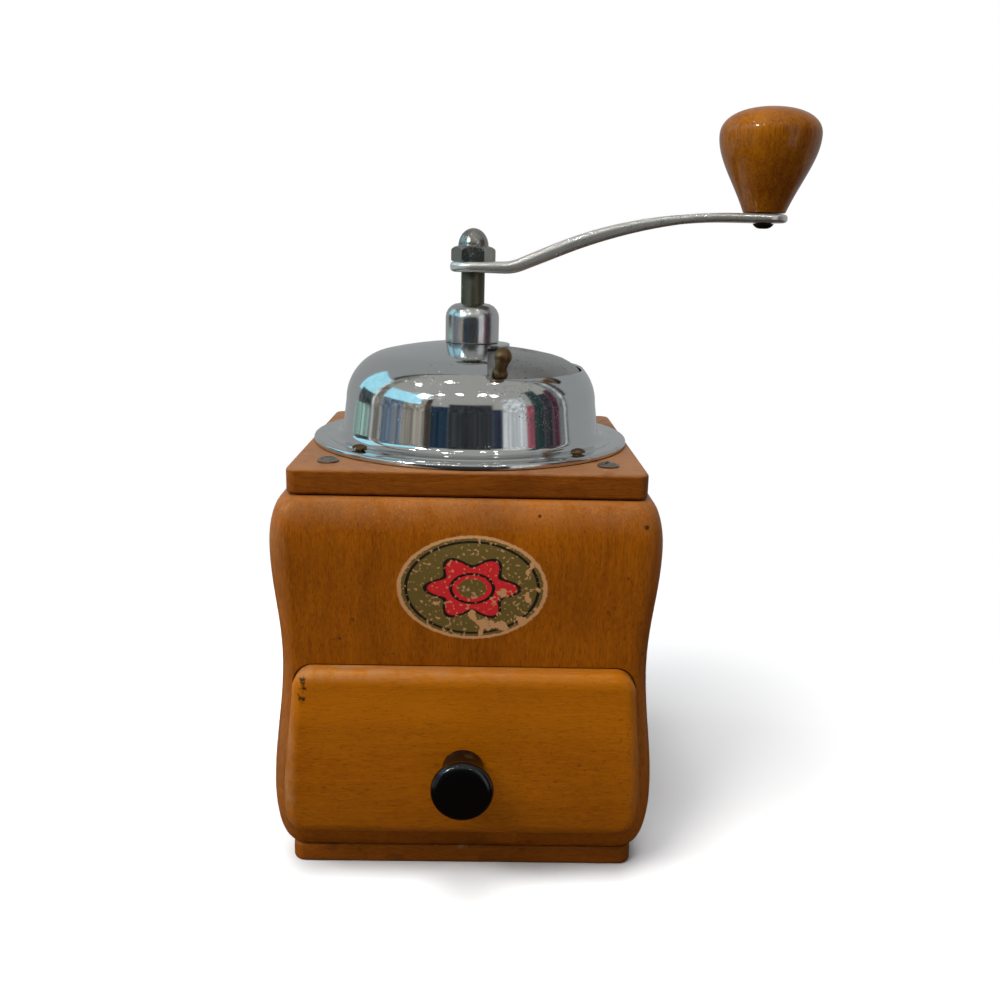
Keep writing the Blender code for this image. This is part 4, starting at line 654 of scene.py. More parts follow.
# Colours in linear light
WARM_SHEEN = (1.0, 0.80, 0.45, 1)
HONEY_LIGHT = (0.247, 0.068, 0.0008, 1)
HONEY_DARK = (0.115, 0.028, 0.0002, 1)
HONEY_PORE = (0.055, 0.011, 0.0003, 1)
GOLD_LIGHT = (0.270, 0.081, 0.0008, 1)
GOLD_DARK = (0.143, 0.037, 0.0002, 1)
# Lighter gold painted on the drawer's upper part, as if lit from above
GOLD_PAINTED_LIGHT = (0.390, 0.120, 0.0009, 1)
PEAR_LIGHT = (0.215, 0.070, 0.0012, 1)
PEAR_DARK = (0.088, 0.021, 0.0003, 1)
TOP_LIGHT = (0.200, 0.056, 0.0030, 1)
TOP_DARK = (0.095, 0.022, 0.0010, 1)
FOOT_LIGHT = (0.215, 0.058, 0.0030, 1)
FOOT_DARK = (0.115, 0.028, 0.0015, 1)
PALE_LIGHT = (0.520, 0.330, 0.160, 1)
PALE_DARK = (0.360, 0.200, 0.080, 1)
GRIME = (0.030, 0.012, 0.003, 1)
# Pale colour: painted sheen on the body, the drawer and the top board's upper face, and rubbed wear
# on the plinth and the top board's edges
PALE_SHEEN_AND_WEAR = (0.285, 0.195, 0.110, 1)
TARNISH = (0.050, 0.045, 0.035, 1)
JET = (0.0004, 0.0004, 0.0008, 1)
BROWNED = (0.030, 0.015, 0.008, 1)
LABEL_FIELD = (0.090, 0.062, 0.016, 1)
LABEL_RED = (0.400, 0.012, 0.018, 1)
LABEL_INK = (0.008, 0.006, 0.006, 1)
LABEL_PAPER = (0.420, 0.230, 0.110, 1)

# Spots: bumps to the metre, where a spot begins and is full, and how strongly it shows
BODY_SPOTS = (420, 0.76, 0.82, 0.7)
DRAWER_SPOTS = (300, 0.77, 0.83, 0.7)
PLINTH_SPOTS = (130, 0.56, 0.74, 0.35)
TOP_SPOTS = (150, 0.55, 0.74, 0.5)
PALE_SPOTS = (90, 0.55, 0.75, 0.6)
LABEL_SPOTS = (900, 0.60, 0.68, 0.6)

# Painted sheen, clouded like bloom on worn lacquer: bumps to the metre, where a cloud begins, and its
# strength
BODY_SHEEN = (140, 0.15, 0.15)
DRAWER_SHEEN = (150, 0.30, 0.34)
CLOUD_FULL = 0.62

# Worn transfer on the front board: its middle and half sizes across and up
LABEL_ACROSS = 0.0019
LABEL_LEVEL = 0.0972
LABEL_HALF_WIDTH = 0.0228
LABEL_HALF_HEIGHT = 0.0168
LABEL_PETALS = 6

# Bands of wear, of painted sheen and light, and of darkening at the foot: how far short of an edge
# each one starts and is full
FOOT_DARKENING_HEIGHT = 0.010
SHOULDER_SHEEN_BAND = (0.0110, 0.0015)
BODY_CORNER_SHEEN_BAND = (0.0085, 0.0035)
DRAWER_SIDE_SHEEN_BAND = (0.0095, 0.0055)
DRAWER_TOP_SHEEN_BAND = (0.0040, 0)
DRAWER_PAINTED_LIGHT_BAND = (0.026, 0.008)
PLINTH_RUB_LEVEL = 0.0025
TOP_SHEEN_BAND = (0.0012, 0.0002)
TOP_SIDE_BAND = (0.0018, 0.0006)
TOP_EDGE_BAND = (0.0016, 0.0004)

# How strongly each layer shows
FOOT_DARKENING = 0.60
DRAWER_PAINTED_LIGHT = 0.27
DRAWER_SCUFF = 0.85
PLINTH_RUB = 0.38
TOP_PAINTED_SHEEN = 0.24
TOP_RUB = 0.10
HANDLE_COAT = 0.45
HANDLE_COAT_ROUGHNESS = 0.08

# Small dents on the front board (middle across and up, and radius), and the drawer's scuff
# (its middle, and how far from it the scuff ends and is full, across and up)
FRONT_DENTS = ((0.0541, 0.1173, 0.0007), (0.0218, 0.1201, 0.0005))
FRONT_START = -0.045
FRONT_FULL = -0.050
SCUFF_ACROSS = -0.0498
SCUFF_LEVEL = 0.0650
SCUFF_SIDES = (0.0026, 0.0004)
SCUFF_ENDS = (0.0085, 0.0020)


def spotted(place, colour, spot, scale, low, high, share):
    """Scatter spots over a colour."""
    spots = place.noise(scale, 1, 0.4).rise(low, high)
    return (spots * share).blend(colour, spot)


class Finish:
    """A material, laid up in layers, and the record's slot that it belongs to."""

    def __init__(self, name, slot, roughness, metallic=0.0, specular=0.5):
        self.slot = slot
        self.material, self.tree = new_material(name)
        self.shader = self.tree.nodes["Principled BSDF"]
        self.place = placed(self.tree)
        self.colour = None
        self.set("Roughness", roughness)
        self.set("Metallic", metallic)
        self.set("Specular IOR Level", specular)

    def set(self, socket, value):
        """Set one of the shader's sockets, or feed it."""
        feed(self.tree, self.shader.inputs[socket], value)

    def bump(self, height, distance, strength=BUMP_STRENGTH):
        """Raise the surface by a height pattern."""
        self.set("Normal", field(self.tree, "Bump", {"Height": height, "Distance": distance,
                                                     "Strength": strength}))

    def group(self, tree, inputs, outputs):
        """Place a node group and take the named outputs."""
        made = node(self.tree, "Group", inputs, node_tree=tree)
        return [Field(self.tree, made.outputs[label]) for label in outputs]

    def paint(self, colour):
        """Give the finish its colour so far."""
        self.colour = colour
        self.set("Base Color", colour)

    def lay(self, share, colour):
        """Lay a colour over what is there."""
        self.paint(share.blend(self.colour, colour))

    def spot(self, spot, pattern):
        """Scatter spots over what is there."""
        self.paint(spotted(self.place, self.colour, spot, *pattern))

    def rub(self, nearness, amount, bare):
        """Rub through to another colour where nearness is high."""
        wear = self.group(WEAR, {"Place": self.place, "Nearness": nearness, "Amount": amount},
                          ("Wear",))[0]
        self.lay(wear, bare)

    def paint_clouded_sheen(self, where, scale, low, amount):
        """Lay a painted sheen, clouded like bloom on worn lacquer, where a mask is high."""
        cloudy = self.place.noise(scale, 4, 0.7).rise(low, CLOUD_FULL)
        self.lay(cloudy * where * amount, PALE_SHEEN_AND_WEAR)


def wooden(name, slot, axis, light, dark, roughness, contrast=0.8, shift=(0, 0, 0), specular=0.2):
    """A wood finish with its grain along one axis."""
    finish = Finish(name, slot, roughness, specular=specular)
    finish.set("Specular Tint", WARM_SHEEN)
    tree = finish.tree
    stretch = [1, 1, 1]
    stretch[axis] = GRAIN_STRETCH
    colour, height = finish.group(
        GRAIN, {"Along": placed(tree, stretch, shift), "Place": placed(tree, shift=shift),
                "Light": light, "Dark": dark, "Pore": HONEY_PORE, "Contrast": contrast},
        ("Color", "Height"))
    finish.paint(colour)
    finish.bump(height, GRAIN_DEPTH)
    return finish


def body_finish(name, shift):
    """Honey lacquer on upright grain, darker towards the foot, with a painted sheen, clouded like
    worn lacquer, on the shoulder and on the corners towards the window.
    """
    finish = wooden(name, "body_wood", Z, HONEY_LIGHT, HONEY_DARK, 0.33, shift=shift)
    across, depth, level = apart(finish.place)
    # Darker towards the foot, broken up by ragged noise
    finish.rub(level.rise(BODY_BOTTOM + FOOT_DARKENING_HEIGHT, BODY_BOTTOM), FOOT_DARKENING, FOOT_DARK)
    finish.spot(GRIME, BODY_SPOTS)
    # Painted sheen: pale clouds on the shoulder, and on the upright corners on the window's side,
    # where light catches them
    shoulder = level.near(BODY_TOP, *SHOULDER_SHEEN_BAND)
    out = abs(across).reckon('MINIMUM', abs(depth))
    corner = out.near(BODY_HALF, *BODY_CORNER_SHEEN_BAND)
    towards_window = across.rise(0.01, -0.01).spread(0.20, 0.75)
    finish.paint_clouded_sheen(shoulder.most(corner * towards_window), *BODY_SHEEN)
    return finish


def label_design(place, run, climb, oval):
    """The transfer's colours: an ink line, and a six-petal rosette round a ringed hub."""
    line = oval.between(0.865, 0.905, 0.005)
    petals = (climb.reckon('ARCTAN2', run) * LABEL_PETALS).reckon('COSINE').scaled(0.10, 0.50)
    past_petals = oval - petals
    design = line.blend(LABEL_FIELD, LABEL_INK)
    for share, colour in ((past_petals.rise(0.065, 0.05), LABEL_INK),
                          (past_petals.rise(0.015, -0.015), LABEL_RED),
                          (oval.between(0.2625, 0.3075, 0.0075), LABEL_INK),
                          (oval.rise(0.20, 0.18), LABEL_FIELD)):
        design = share.blend(design, colour)
    return spotted(place, design, LABEL_PAPER, *LABEL_SPOTS)


def front_finish():
    """The front board's lacquer, its worn transfer, plain in design, and its few dents."""
    finish = body_finish("front_lacquer", (0.2, 0.3, 0.1))
    place = finish.place
    across, depth, level = apart(place)
    front = depth.rise(FRONT_START, FRONT_FULL)
    run = (across - LABEL_ACROSS) / LABEL_HALF_WIDTH
    climb = (level - LABEL_LEVEL) / LABEL_HALF_HEIGHT
    oval = far_from(run, climb)
    loss = place.noise(170, 3, 0.6) + (run - climb) * 0.10
    ragged = place.noise(700, 2, 0.6).reckon('MULTIPLY_ADD', 0.05, oval)
    finish.lay(ragged.rise(1.04, 1.02) * front * 0.75, LABEL_PAPER)
    printed = ragged.rise(0.985, 0.97) * front * loss.rise(0.66, 0.64)
    finish.lay(printed, label_design(place, run, climb, oval))
    for dent_across, dent_level, radius in FRONT_DENTS:
        far = far_from(across, level, (dent_across, dent_level))
        finish.lay(far.rise(radius * 1.5, radius * 0.5) * front, GRIME)
    return finish


def drawer_finish():
    """Honey lacquer on level grain, painted lighter towards its top, with a painted sheen, clouded
    like worn lacquer, on its edges towards the window, and a dark scuff at one corner.
    """
    finish = wooden("drawer_lacquer", "body_wood", X, GOLD_LIGHT, GOLD_DARK, 0.30,
                    contrast=0.6, shift=(0.31, 0.12, 0.27))
    across, depth, level = apart(finish.place)
    side = abs(across).near(BODY_HALF, *DRAWER_SIDE_SHEEN_BAND)
    top = level.near(DRAWER_TOP, *DRAWER_TOP_SHEEN_BAND)
    # Painted light: the drawer's upper part laid lighter, as if lit from above
    finish.lay(level.near(DRAWER_TOP, *DRAWER_PAINTED_LIGHT_BAND) * DRAWER_PAINTED_LIGHT, GOLD_PAINTED_LIGHT)
    # Painted sheen on the drawer's side and top edges, strongest towards the window
    towards_window = across.rise(0.04, -0.05).spread(0.25, 1.0)
    finish.paint_clouded_sheen((side * 0.9).most(top) * towards_window, *DRAWER_SHEEN)
    scuff = abs(across - SCUFF_ACROSS).rise(*SCUFF_SIDES)
    scuff = scuff * abs(level - SCUFF_LEVEL).rise(*SCUFF_ENDS)
    scuff = scuff * finish.place.noise(700, 4, 0.8).rise(0.40, 0.58)
    finish.rub(scuff, DRAWER_SCUFF, GRIME)
    finish.spot(GRIME, DRAWER_SPOTS)
    return finish


def plinth_finish():
    """Honey lacquer on level grain, grubby and scuffed pale."""
    finish = wooden("plinth_lacquer", "body_wood", X, FOOT_LIGHT, FOOT_DARK, 0.42,
                    shift=(0.7, 0.2, 0.5))
    finish.spot(GRIME, PLINTH_SPOTS)
    finish.rub(apart(finish.place)[Z].rise(PLINTH_RUB_LEVEL, PLINTH_TOP), PLINTH_RUB, PALE_SHEEN_AND_WEAR)
    return finish


def top_finish():
    """The top board: redder, with a painted sheen over its upper face and pale rubbed wear at its
    upper edges.
    """
    finish = wooden("top_lacquer", "top_wood", X, TOP_LIGHT, TOP_DARK, 0.40, shift=(0.1, 0.9, 0.3))
    across, depth, level = apart(finish.place)
    side = abs(across).most(abs(depth)).near(PLATE_HALF, *TOP_SIDE_BAND)
    # Painted sheen: the upward face laid paler, as window light at a grazing angle would show it
    finish.lay(level.near(PLATE_TOP, *TOP_SHEEN_BAND) * TOP_PAINTED_SHEEN, PALE_SHEEN_AND_WEAR)
    finish.rub(side * level.near(PLATE_TOP, *TOP_EDGE_BAND), TOP_RUB, PALE_SHEEN_AND_WEAR)
    finish.spot(TOP_DARK, TOP_SPOTS)
    return finish


def handle_finish():
    """The handle: upright grain under thick amber lacquer."""
    finish = wooden("handle_lacquer", "knob_wood", Z, PEAR_LIGHT, PEAR_DARK, 0.30,
                    contrast=1.15, shift=(0.5, 0.4, 0.6), specular=0.12)
    finish.set("Coat Weight", HANDLE_COAT)
    finish.set("Coat Roughness", HANDLE_COAT_ROUGHNESS)
    return finish


def plain_finish():
    """Bare pale wood inside."""
    finish = wooden("bare_wood", "plain_wood", X, PALE_LIGHT, PALE_DARK, 0.62,
                    contrast=0.5, specular=0.3)
    finish.spot(PALE_DARK, PALE_SPOTS)
    return finish


def black_finish():
    """Glossy black lacquer on the drawer's knob, browned a little at the neck."""
    finish = Finish("black_lacquer", "black_gloss", 0.16, specular=0.6)
    place = finish.place
    neck = apart(place)[Y].rise(KNOB_END + 0.006, KNOB_ROOT)
    finish.paint(JET)
    finish.lay(place.noise(240, 3, 0.6).rise(0.55, 0.75) * neck, BROWNED)
    finish.set("Roughness", place.noise(500, 3, 0.6).spread(0.10, 0.26))
    finish.bump(place.noise(700, 2), KNOB_RIPPLE_DEPTH, 0.4)
    return finish


def metal(name, slot, colour, roughness, pits, haze, metallic=1.0):
    """A metal with pits and haze of its own."""
    finish = Finish(name, slot, roughness, metallic)
    pit, cloud, height = finish.group(
        METAL, {"Place": finish.place, "Pits": pits, "Haze": haze}, ("Pit", "Cloud", "Height"))
    finish.paint((*colour, 1))
    finish.lay(pit * 0.7, TARNISH)
    finish.lay(cloud * 0.35, TARNISH)
    finish.set("Roughness", pit.reckon('MULTIPLY_ADD', 0.35, cloud.scaled(0.22, roughness)))
    finish.bump(height, PIT_DEPTH)
    return finish


FRONT = front_finish()
SIDES = body_finish("side_lacquer", (0.6, 0.1, 0.8))
DRAWER = drawer_finish()
PLINTH = plinth_finish()
TOP = top_finish()
HANDLE = handle_finish()
PLAIN = plain_finish()
BLACK = black_finish()
# Metals: name, slot, colour, roughness, pits and haze
DOME = metal("dome_chrome_plate", "dome_chrome", (0.66, 0.67, 0.67), 0.05, 1.0, 0.35)
BELL = metal("bell_chrome_plate", "dome_chrome", (0.62, 0.62, 0.62), 0.15, 0.9, 0.35)
SHUTTER = metal("shutter_plate_metal", "shutter_chrome", (0.50, 0.50, 0.49), 0.24, 1.5, 1.0)
ARM = metal("arm_nickel_plate", "arm_nickel", (0.97, 0.96, 0.92), 0.15, 1.35, 1.3, metallic=0.92)
NUT = metal("nut_steel", "arm_nickel", (0.47, 0.46, 0.43), 0.10, 2.4, 1.2)
SCREWS = metal("screw_nickel", "arm_nickel", (0.42, 0.39, 0.33), 0.34, 1.0, 1.0)
SHAFT = metal("shaft_steel", "dark_steel", (0.17, 0.165, 0.115), 0.34, 1.8, 1.2)
BRIGHT = metal("bright_steel_metal", "bright_steel", (0.52, 0.52, 0.52), 0.28, 0.5, 0.5)
# Rivet: near-black, partly its dark steel and partly painted shade under the arm
SHADED_RIVET = metal("rivet_steel_painted_shade", "bright_steel", (0.050, 0.045, 0.040), 0.40, 0.8, 0.8)
IRON = metal("cast_iron_metal", "cast_iron", (0.10, 0.10, 0.10), 0.55, 1.0, 1.0, metallic=0.8)
BRASS = metal("brass_metal", "brass", (0.46, 0.32, 0.13), 0.34, 0.6, 0.7)
OLD_BRASS = metal("aged_brass", "old_brass", (0.24, 0.145, 0.065), 0.32, 1.1, 1.0)


# Wooden pieces

def body_half(level):
    """Half the body's width at a level: foot, lower bulge, waist, upper bulge, shoulder."""
    lower = BODY_BOTTOM + BODY_HEIGHT * LOWER_BULGE_SHARE
    waist = BODY_BOTTOM + BODY_HEIGHT * WAIST_SHARE
    upper = BODY_BOTTOM + BODY_HEIGHT * UPPER_BULGE_SHARE
    waist_half = BODY_HALF - WAIST_DEPTH
    upper_half = BODY_HALF - UPPER_BULGE_INSET
    if level <= lower:
        share = min(1, (lower - level) / (lower - BODY_BOTTOM))
        return BODY_HALF - FOOT_RUN * (1 - sqrt(1 - share * share))
    if level <= waist:
        share = (level - lower) / (waist - lower)
        return BODY_HALF + (waist_half - BODY_HALF) * (1 - cos(pi * share)) / 2
    if level <= upper:
        share = (upper - level) / (upper - waist)
        return upper_half + (waist_half - upper_half) * (1 - cos(pi * share)) / 2
    share = min(1, (level - upper) / (BODY_TOP - upper))
    return upper_half - SHOULDER_RUN * (1 - sqrt(1 - share * share))


def body_block():
    """The whole waisted body as one block, drawn up level by level from a rounded square.

    The levels lie closer together towards both ends.
    """
    levels = [BODY_BOTTOM + BODY_HEIGHT * (1 - cos(pi * step / BODY_LEVELS)) / 2
              for step in range(BODY_LEVELS + 1)]
    foot = body_half(levels[0])
    bm = oblong(foot, foot, BODY_CORNER, ARC_STEPS, Matrix.Translation((0, 0, levels[0])))
    ring = bm.edges[:]
    for level, above in zip(levels, levels[1:]):
        grown = bmesh.ops.extrude_edge_only(bm, edges=ring)["geom"]
        verts = verts_in(grown)
        ring = edges_in(grown)
        wider = body_half(above) / body_half(level)
        bmesh.ops.scale(bm, verts=verts, vec=(wider, wider, 1))
        bmesh.ops.translate(bm, verts=verts, vec=(0, 0, above - level))
    bmesh.ops.edgeloop_fill(bm, edges=ring)
    return merged(bm)


def drawer_shape(spare, back, front, edge=0):
    """The drawer front's block between two planes: a rounded oblong with some spare all round."""
    bottom = DRAWER_BOTTOM - spare
    top = DRAWER_TOP + spare
    upright = Matrix.Translation((0, back, (bottom + top) / 2)) @ Matrix.Rotation(pi / 2, 4, 'X')
    bm = oblong(BODY_HALF - DRAWER_INSET + spare, (top - bottom) / 2, DRAWER_CORNER, ARC_STEPS,
                upright)
    drawn_out(bm, (0, front - back, 0))
    if edge:
        rim = [line for line in bm.edges
               if all(abs(vert.co.y - front) < MERGE_DISTANCE for vert in line.verts)]
        bmesh.ops.bevel(bm, geom=rim, offset=edge, offset_type='OFFSET', segments=ARC_STEPS,
                        profile=0.5, affect='EDGES', clamp_overlap=False, material=-1)
    for step in range(1, DRAWER_LEVELS):
        level = bottom + (top - bottom) * step / DRAWER_LEVELS
        bmesh.ops.bisect_plane(bm, geom=everything(bm), plane_co=(0, 0, level), plane_no=(0, 0, 1))
    return bm


def follow_body(bm, back, front):
    """Draw a shape in at the sides, and bow its face, as the body does at each level."""
    width = BODY_HALF - DRAWER_INSET
    for vert in bm.verts:
        narrow = BODY_HALF - body_half(vert.co.z)
        vert.co.x *= 1 - narrow / width
        vert.co.y += narrow * max(0, min(1, (vert.co.y - back) / (front - back)))
    return bm


def make_body():
    """Four boards sliced from one block, with the drawer's seat carved in the front one."""
    front = sliced(body_block(), (0, -CAVITY_HALF, 0), (0, 1, 0))
    ahead = -BODY_HALF - DRAWER_PROUD - OVERRUN
    seat = drawer_shape(DRAWER_SEAT_GAP, DRAWER_SEAT, ahead)
    front = carved(front, follow_body(seat, DRAWER_SEAT, ahead * 2))
    passage = slab(highest("drawer_side_right", X) + DRAWER_BOX_ROOM, BODY_HALF,
                   lowest("drawer_side_right", Z) - DRAWER_BOX_ROOM,
                   highest("drawer_side_right", Z) + DRAWER_BOX_ROOM, DRAWER_BOX_CORNER, 0)
    finished("face_board", carved(front, passage), "case", FRONT, "front_board", even=True)
    rear = sliced(body_block(), (0, CAVITY_HALF, 0), (0, -1, 0))
    finished("rear_board", softened(rear, JOINT_ROUND), "case", SIDES, "back_board", even=True)
    for name, node_name, hand in (("left_side", "left_board", -1), ("right_side", "right_board", 1)):
        board = sliced(body_block(), (hand * CAVITY_HALF, 0, 0), (-hand, 0, 0))
        for way in (1, -1):
            board = sliced(board, (0, way * BOARD_REACH, 0), (0, way, 0))
        finished(name, softened(board, JOINT_ROUND), "case", SIDES, node_name, even=True)


def make_drawer_front():
    """The drawer's proud face, rounded all round its front."""
    front = -BODY_HALF - DRAWER_PROUD
    bm = drawer_shape(0, DRAWER_BACK, front, DRAWER_EDGE)
    follow_body(bm, DRAWER_BACK, front)
    finished("drawer_face", bm, "drawer", DRAWER, "drawer_front", even=True)


def make_slabs():
    """Plinth and top board; the top board is open under the hopper."""
    plinth = slab(PLINTH_HALF, PLINTH_HALF, 0, PLINTH_TOP, PLINTH_CORNER, PLINTH_EDGE)
    finished("base_board", plinth, "case", PLINTH, "plinth", even=True)
    plate = slab(PLATE_HALF, PLATE_HALF, PLATE_BOTTOM, PLATE_TOP, PLATE_CORNER, PLATE_EDGE)
    hole = turned([(0, PLATE_BOTTOM - OVERRUN), (PLATE_HOLE_RADIUS, PLATE_BOTTOM - OVERRUN),
                   (PLATE_HOLE_RADIUS, PLATE_TOP + OVERRUN), (0, PLATE_TOP + OVERRUN)])
    finished("top_board", carved(plate, hole), "case", TOP, "top_plate", even=True)


def make_handle():
    """The pear-shaped wooden knob on the crank's rivet, sunk over its washer."""
    crown = HANDLE_FOOT + HANDLE_BELLY
    seat = crown + HANDLE_CROWN - HANDLE_SEAT_DEPTH
    skirt = ARM_END_TOP + COLLAR_RECESS
    recess = WASHER_RADIUS + COLLAR_RECESS
    bend = 2 / HANDLE_CROWN_POWER
    start = asin((HANDLE_SEAT_RADIUS / HANDLE_RADIUS) ** (1 / bend))
    points = [(PIN_RADIUS, seat), (HANDLE_SEAT_RADIUS, seat)]
    for step in range(HANDLE_STEPS):
        angle = start + (pi / 2 - start) * step / HANDLE_STEPS
        points.append((HANDLE_RADIUS * sin(angle) ** bend, crown + HANDLE_CROWN * cos(angle) ** bend))
    for step in range(HANDLE_STEPS + 1):
        share = 1 - step / HANDLE_STEPS
        swell = share * (sin(pi / 2 * share) + 1 - share)
        points.append((HANDLE_FOOT_RADIUS + (HANDLE_RADIUS - HANDLE_FOOT_RADIUS) * swell,
                       skirt + (crown - skirt) * share))
    foot = len(points) - 1
    points += [(recess, skirt), (recess, HANDLE_FOOT), (PIN_RADIUS, HANDLE_FOOT)]
    bm = turned(points, ((2, HANDLE_EDGE), (foot, HANDLE_EDGE)), closed=True)
    moved(bm, Matrix.Translation((CRANK_RADIUS, 0, 0)))
    finished("handle_pear", bm, "handle", HANDLE, "handle_knob")


def make_drawer_knob():
    """The black turned knob: neck, flare and rounded face."""
    bm = turned(KNOB_OUTLINE, KNOB_ROUNDING)
    turn = Matrix.Translation((0, KNOB_ROOT, KNOB_LEVEL)) @ Matrix.Rotation(pi / 2, 4, 'X')
    finished("drawer_pull_knob", moved(bm, turn), "drawer", BLACK, "drawer_knob")


# Metal pieces

def skin_centre(offset):
    """Middle of the dome's shoulder arc, and the radius at which the crown meets it."""
    run = DOME_WALL_RADIUS - SHOULDER_RADIUS
    reach = CROWN_RADIUS - SHOULDER_RADIUS
    level = CROWN_LEVEL - CROWN_RADIUS + sqrt(reach * reach - run * run)
    return run, level, (CROWN_RADIUS - offset) * run / reach


def skin_level(radius, offset):
    """Level at a radius on the crown or shoulder of a skin under the dome's outside."""
    run, level, meet = skin_centre(offset)
    if radius <= meet:
        crown = CROWN_RADIUS - offset
        return CROWN_LEVEL - CROWN_RADIUS + sqrt(crown * crown - radius * radius)
    shoulder = SHOULDER_RADIUS - offset
    return level + sqrt(max(0, shoulder * shoulder - (radius - run) ** 2))


def skin_points(offset, stops):
    """Crown and shoulder of a skin, with a ring at each of the radii named."""
    run, level, meet = skin_centre(offset)
    crown = CROWN_RADIUS - offset
    shoulder = SHOULDER_RADIUS - offset
    lean = degrees(asin(run / (CROWN_RADIUS - SHOULDER_RADIUS)))
    points = []
    inner = [90 - degrees(asin(stop / crown)) for stop in stops if stop < meet]
    inner.append(90 - degrees(asin(meet / crown)))
    for start, end in zip(inner, inner[1:]):
        points += arc((0, CROWN_LEVEL - CROWN_RADIUS), crown, start, end, 4)[:-1]
    outer = [degrees(asin(sqrt(1 - ((stop - run) / shoulder) ** 2))) for stop in stops if stop > meet]
    outer = [90 - lean] + outer + [0]
    for start, end in zip(outer, outer[1:]):
        points += arc((run, level), shoulder, start, end)[:-1]
    points.append((run + shoulder, level))
    return points


def cleared(bm, inner, outer, edge, side):
    """Take away the part of a skin between two rings that lies beyond x = edge on one side."""
    def ring():
        """Faces between the two rings, with their middles."""
        middles = [(face, face.calc_center_median()) for face in bm.faces]
        return [(face, place) for face, place in middles if inner < place.xy.length < outer]

    bmesh.ops.bisect_plane(bm, geom=around([face for face, place in ring()]),
                           plane_co=(edge, 0, 0), plane_no=(1, 0, 0))
    gone = [face for face, place in ring() if (place.x - edge) * side > 0]
    bmesh.ops.delete(bm, geom=gone, context='FACES')
    return bm


def make_dome():
    """The pressed hopper dome with its half-moon window, flange and rolled rim."""
    points = skin_points(0, (DOME_BORE_RADIUS, WINDOW_INNER_RADIUS, WINDOW_OUTER_RADIUS))
    fillet = (DOME_FOOT_RADIUS + FLANGE_FILLET, FLANGE_TOP + FLANGE_FILLET)
    points += arc(fillet, FLANGE_FILLET, 180, 270)
    points += [(FLANGE_STEP_RADIUS - FLANGE_STEP, FLANGE_TOP),
               (FLANGE_STEP_RADIUS, FLANGE_TOP - FLANGE_STEP)]
    rim = (FLANGE_RADIUS - RIM_ROUND, FLANGE_TOP - FLANGE_STEP - RIM_ROUND)
    points += arc(rim, RIM_ROUND, 90, 0)
    points.append((FLANGE_RADIUS, RIM_FOOT))
    bm = turned(points, segments=DOME_SEGMENTS)
    cleared(bm, WINDOW_INNER_RADIUS, WINDOW_OUTER_RADIUS, WINDOW_EDGE, 1)
    finished("dome_shell", sheeted(bm, DOME_SHEET, DOME_EDGE), "case", DOME, "hopper_dome")


def make_shutter():
    """The turning half shell under the window, on its hub ring, with its acorn knob."""
    points = skin_points(SHUTTER_OFFSET, (DOME_BORE_RADIUS, SHUTTER_HUB_RADIUS))
    points.append((DOME_WALL_RADIUS - SHUTTER_OFFSET, SHUTTER_FOOT))
    bm = turned(points, segments=DOME_SEGMENTS)
    cleared(bm, SHUTTER_HUB_RADIUS, FLANGE_RADIUS, SHUTTER_EDGE, -1)
    sheeted(bm, SHUTTER_SHEET, SHUTTER_SHEET_EDGE)
    finished("shutter_shell", bm, "shutter", SHUTTER, "shutter_plate")
    ball = arc((0, ACORN_BALL_LEVEL), ACORN_BALL_RADIUS, *ACORN_BALL_ARC)
    acorn = turned(ACORN_TIP + ball + ACORN_STEM, ACORN_ROUNDING, SMALL_SEGMENTS)
    level = skin_level(ACORN_PLACE_RADIUS, SHUTTER_OFFSET)
    turn = Matrix.Rotation(ACORN_TURN, 4, 'Z')
    lean = Matrix.Rotation(ACORN_LEAN, 4, 'X')
    moved(acorn, turn @ Matrix.Translation((0, -ACORN_PLACE_RADIUS, level)) @ lean)
    finished("shutter_acorn", acorn, "shutter", OLD_BRASS, "shutter_knob")


def make_bell():
    """The bright bell over the bearing."""
    bore = SPINDLE_RADIUS + SPINDLE_GAP
    inside = BELL_RADIUS - BELL_WALL
    foot = skin_level(inside, 0) + BELL_FOOT_GAP
    points = [(bore, BELL_TOP - BELL_ROOF), (bore, BELL_TOP), (BELL_RADIUS, BELL_TOP),
              (BELL_RADIUS, foot), (inside, foot), (inside, BELL_TOP - BELL_ROOF)]
    rounding = ((1, BELL_RIM_ROUND), (2, BELL_SHOULDER), (3, BELL_RIM_ROUND))
    finished("bearing_cap", turned(points, rounding, closed=True), "case", BELL, "bearing_bell")


def make_spindle():
    """The dark steel shaft."""
    points = [(0, SPINDLE_BOTTOM), (SPINDLE_RADIUS, SPINDLE_BOTTOM), (SPINDLE_RADIUS, SPINDLE_TOP),
              (0, SPINDLE_TOP)]
    bm = turned(points, ((1, SPINDLE_ROUND), (2, SPINDLE_ROUND)), SMALL_SEGMENTS)
    finished("spindle_shaft", bm, "crank", SHAFT, "spindle")


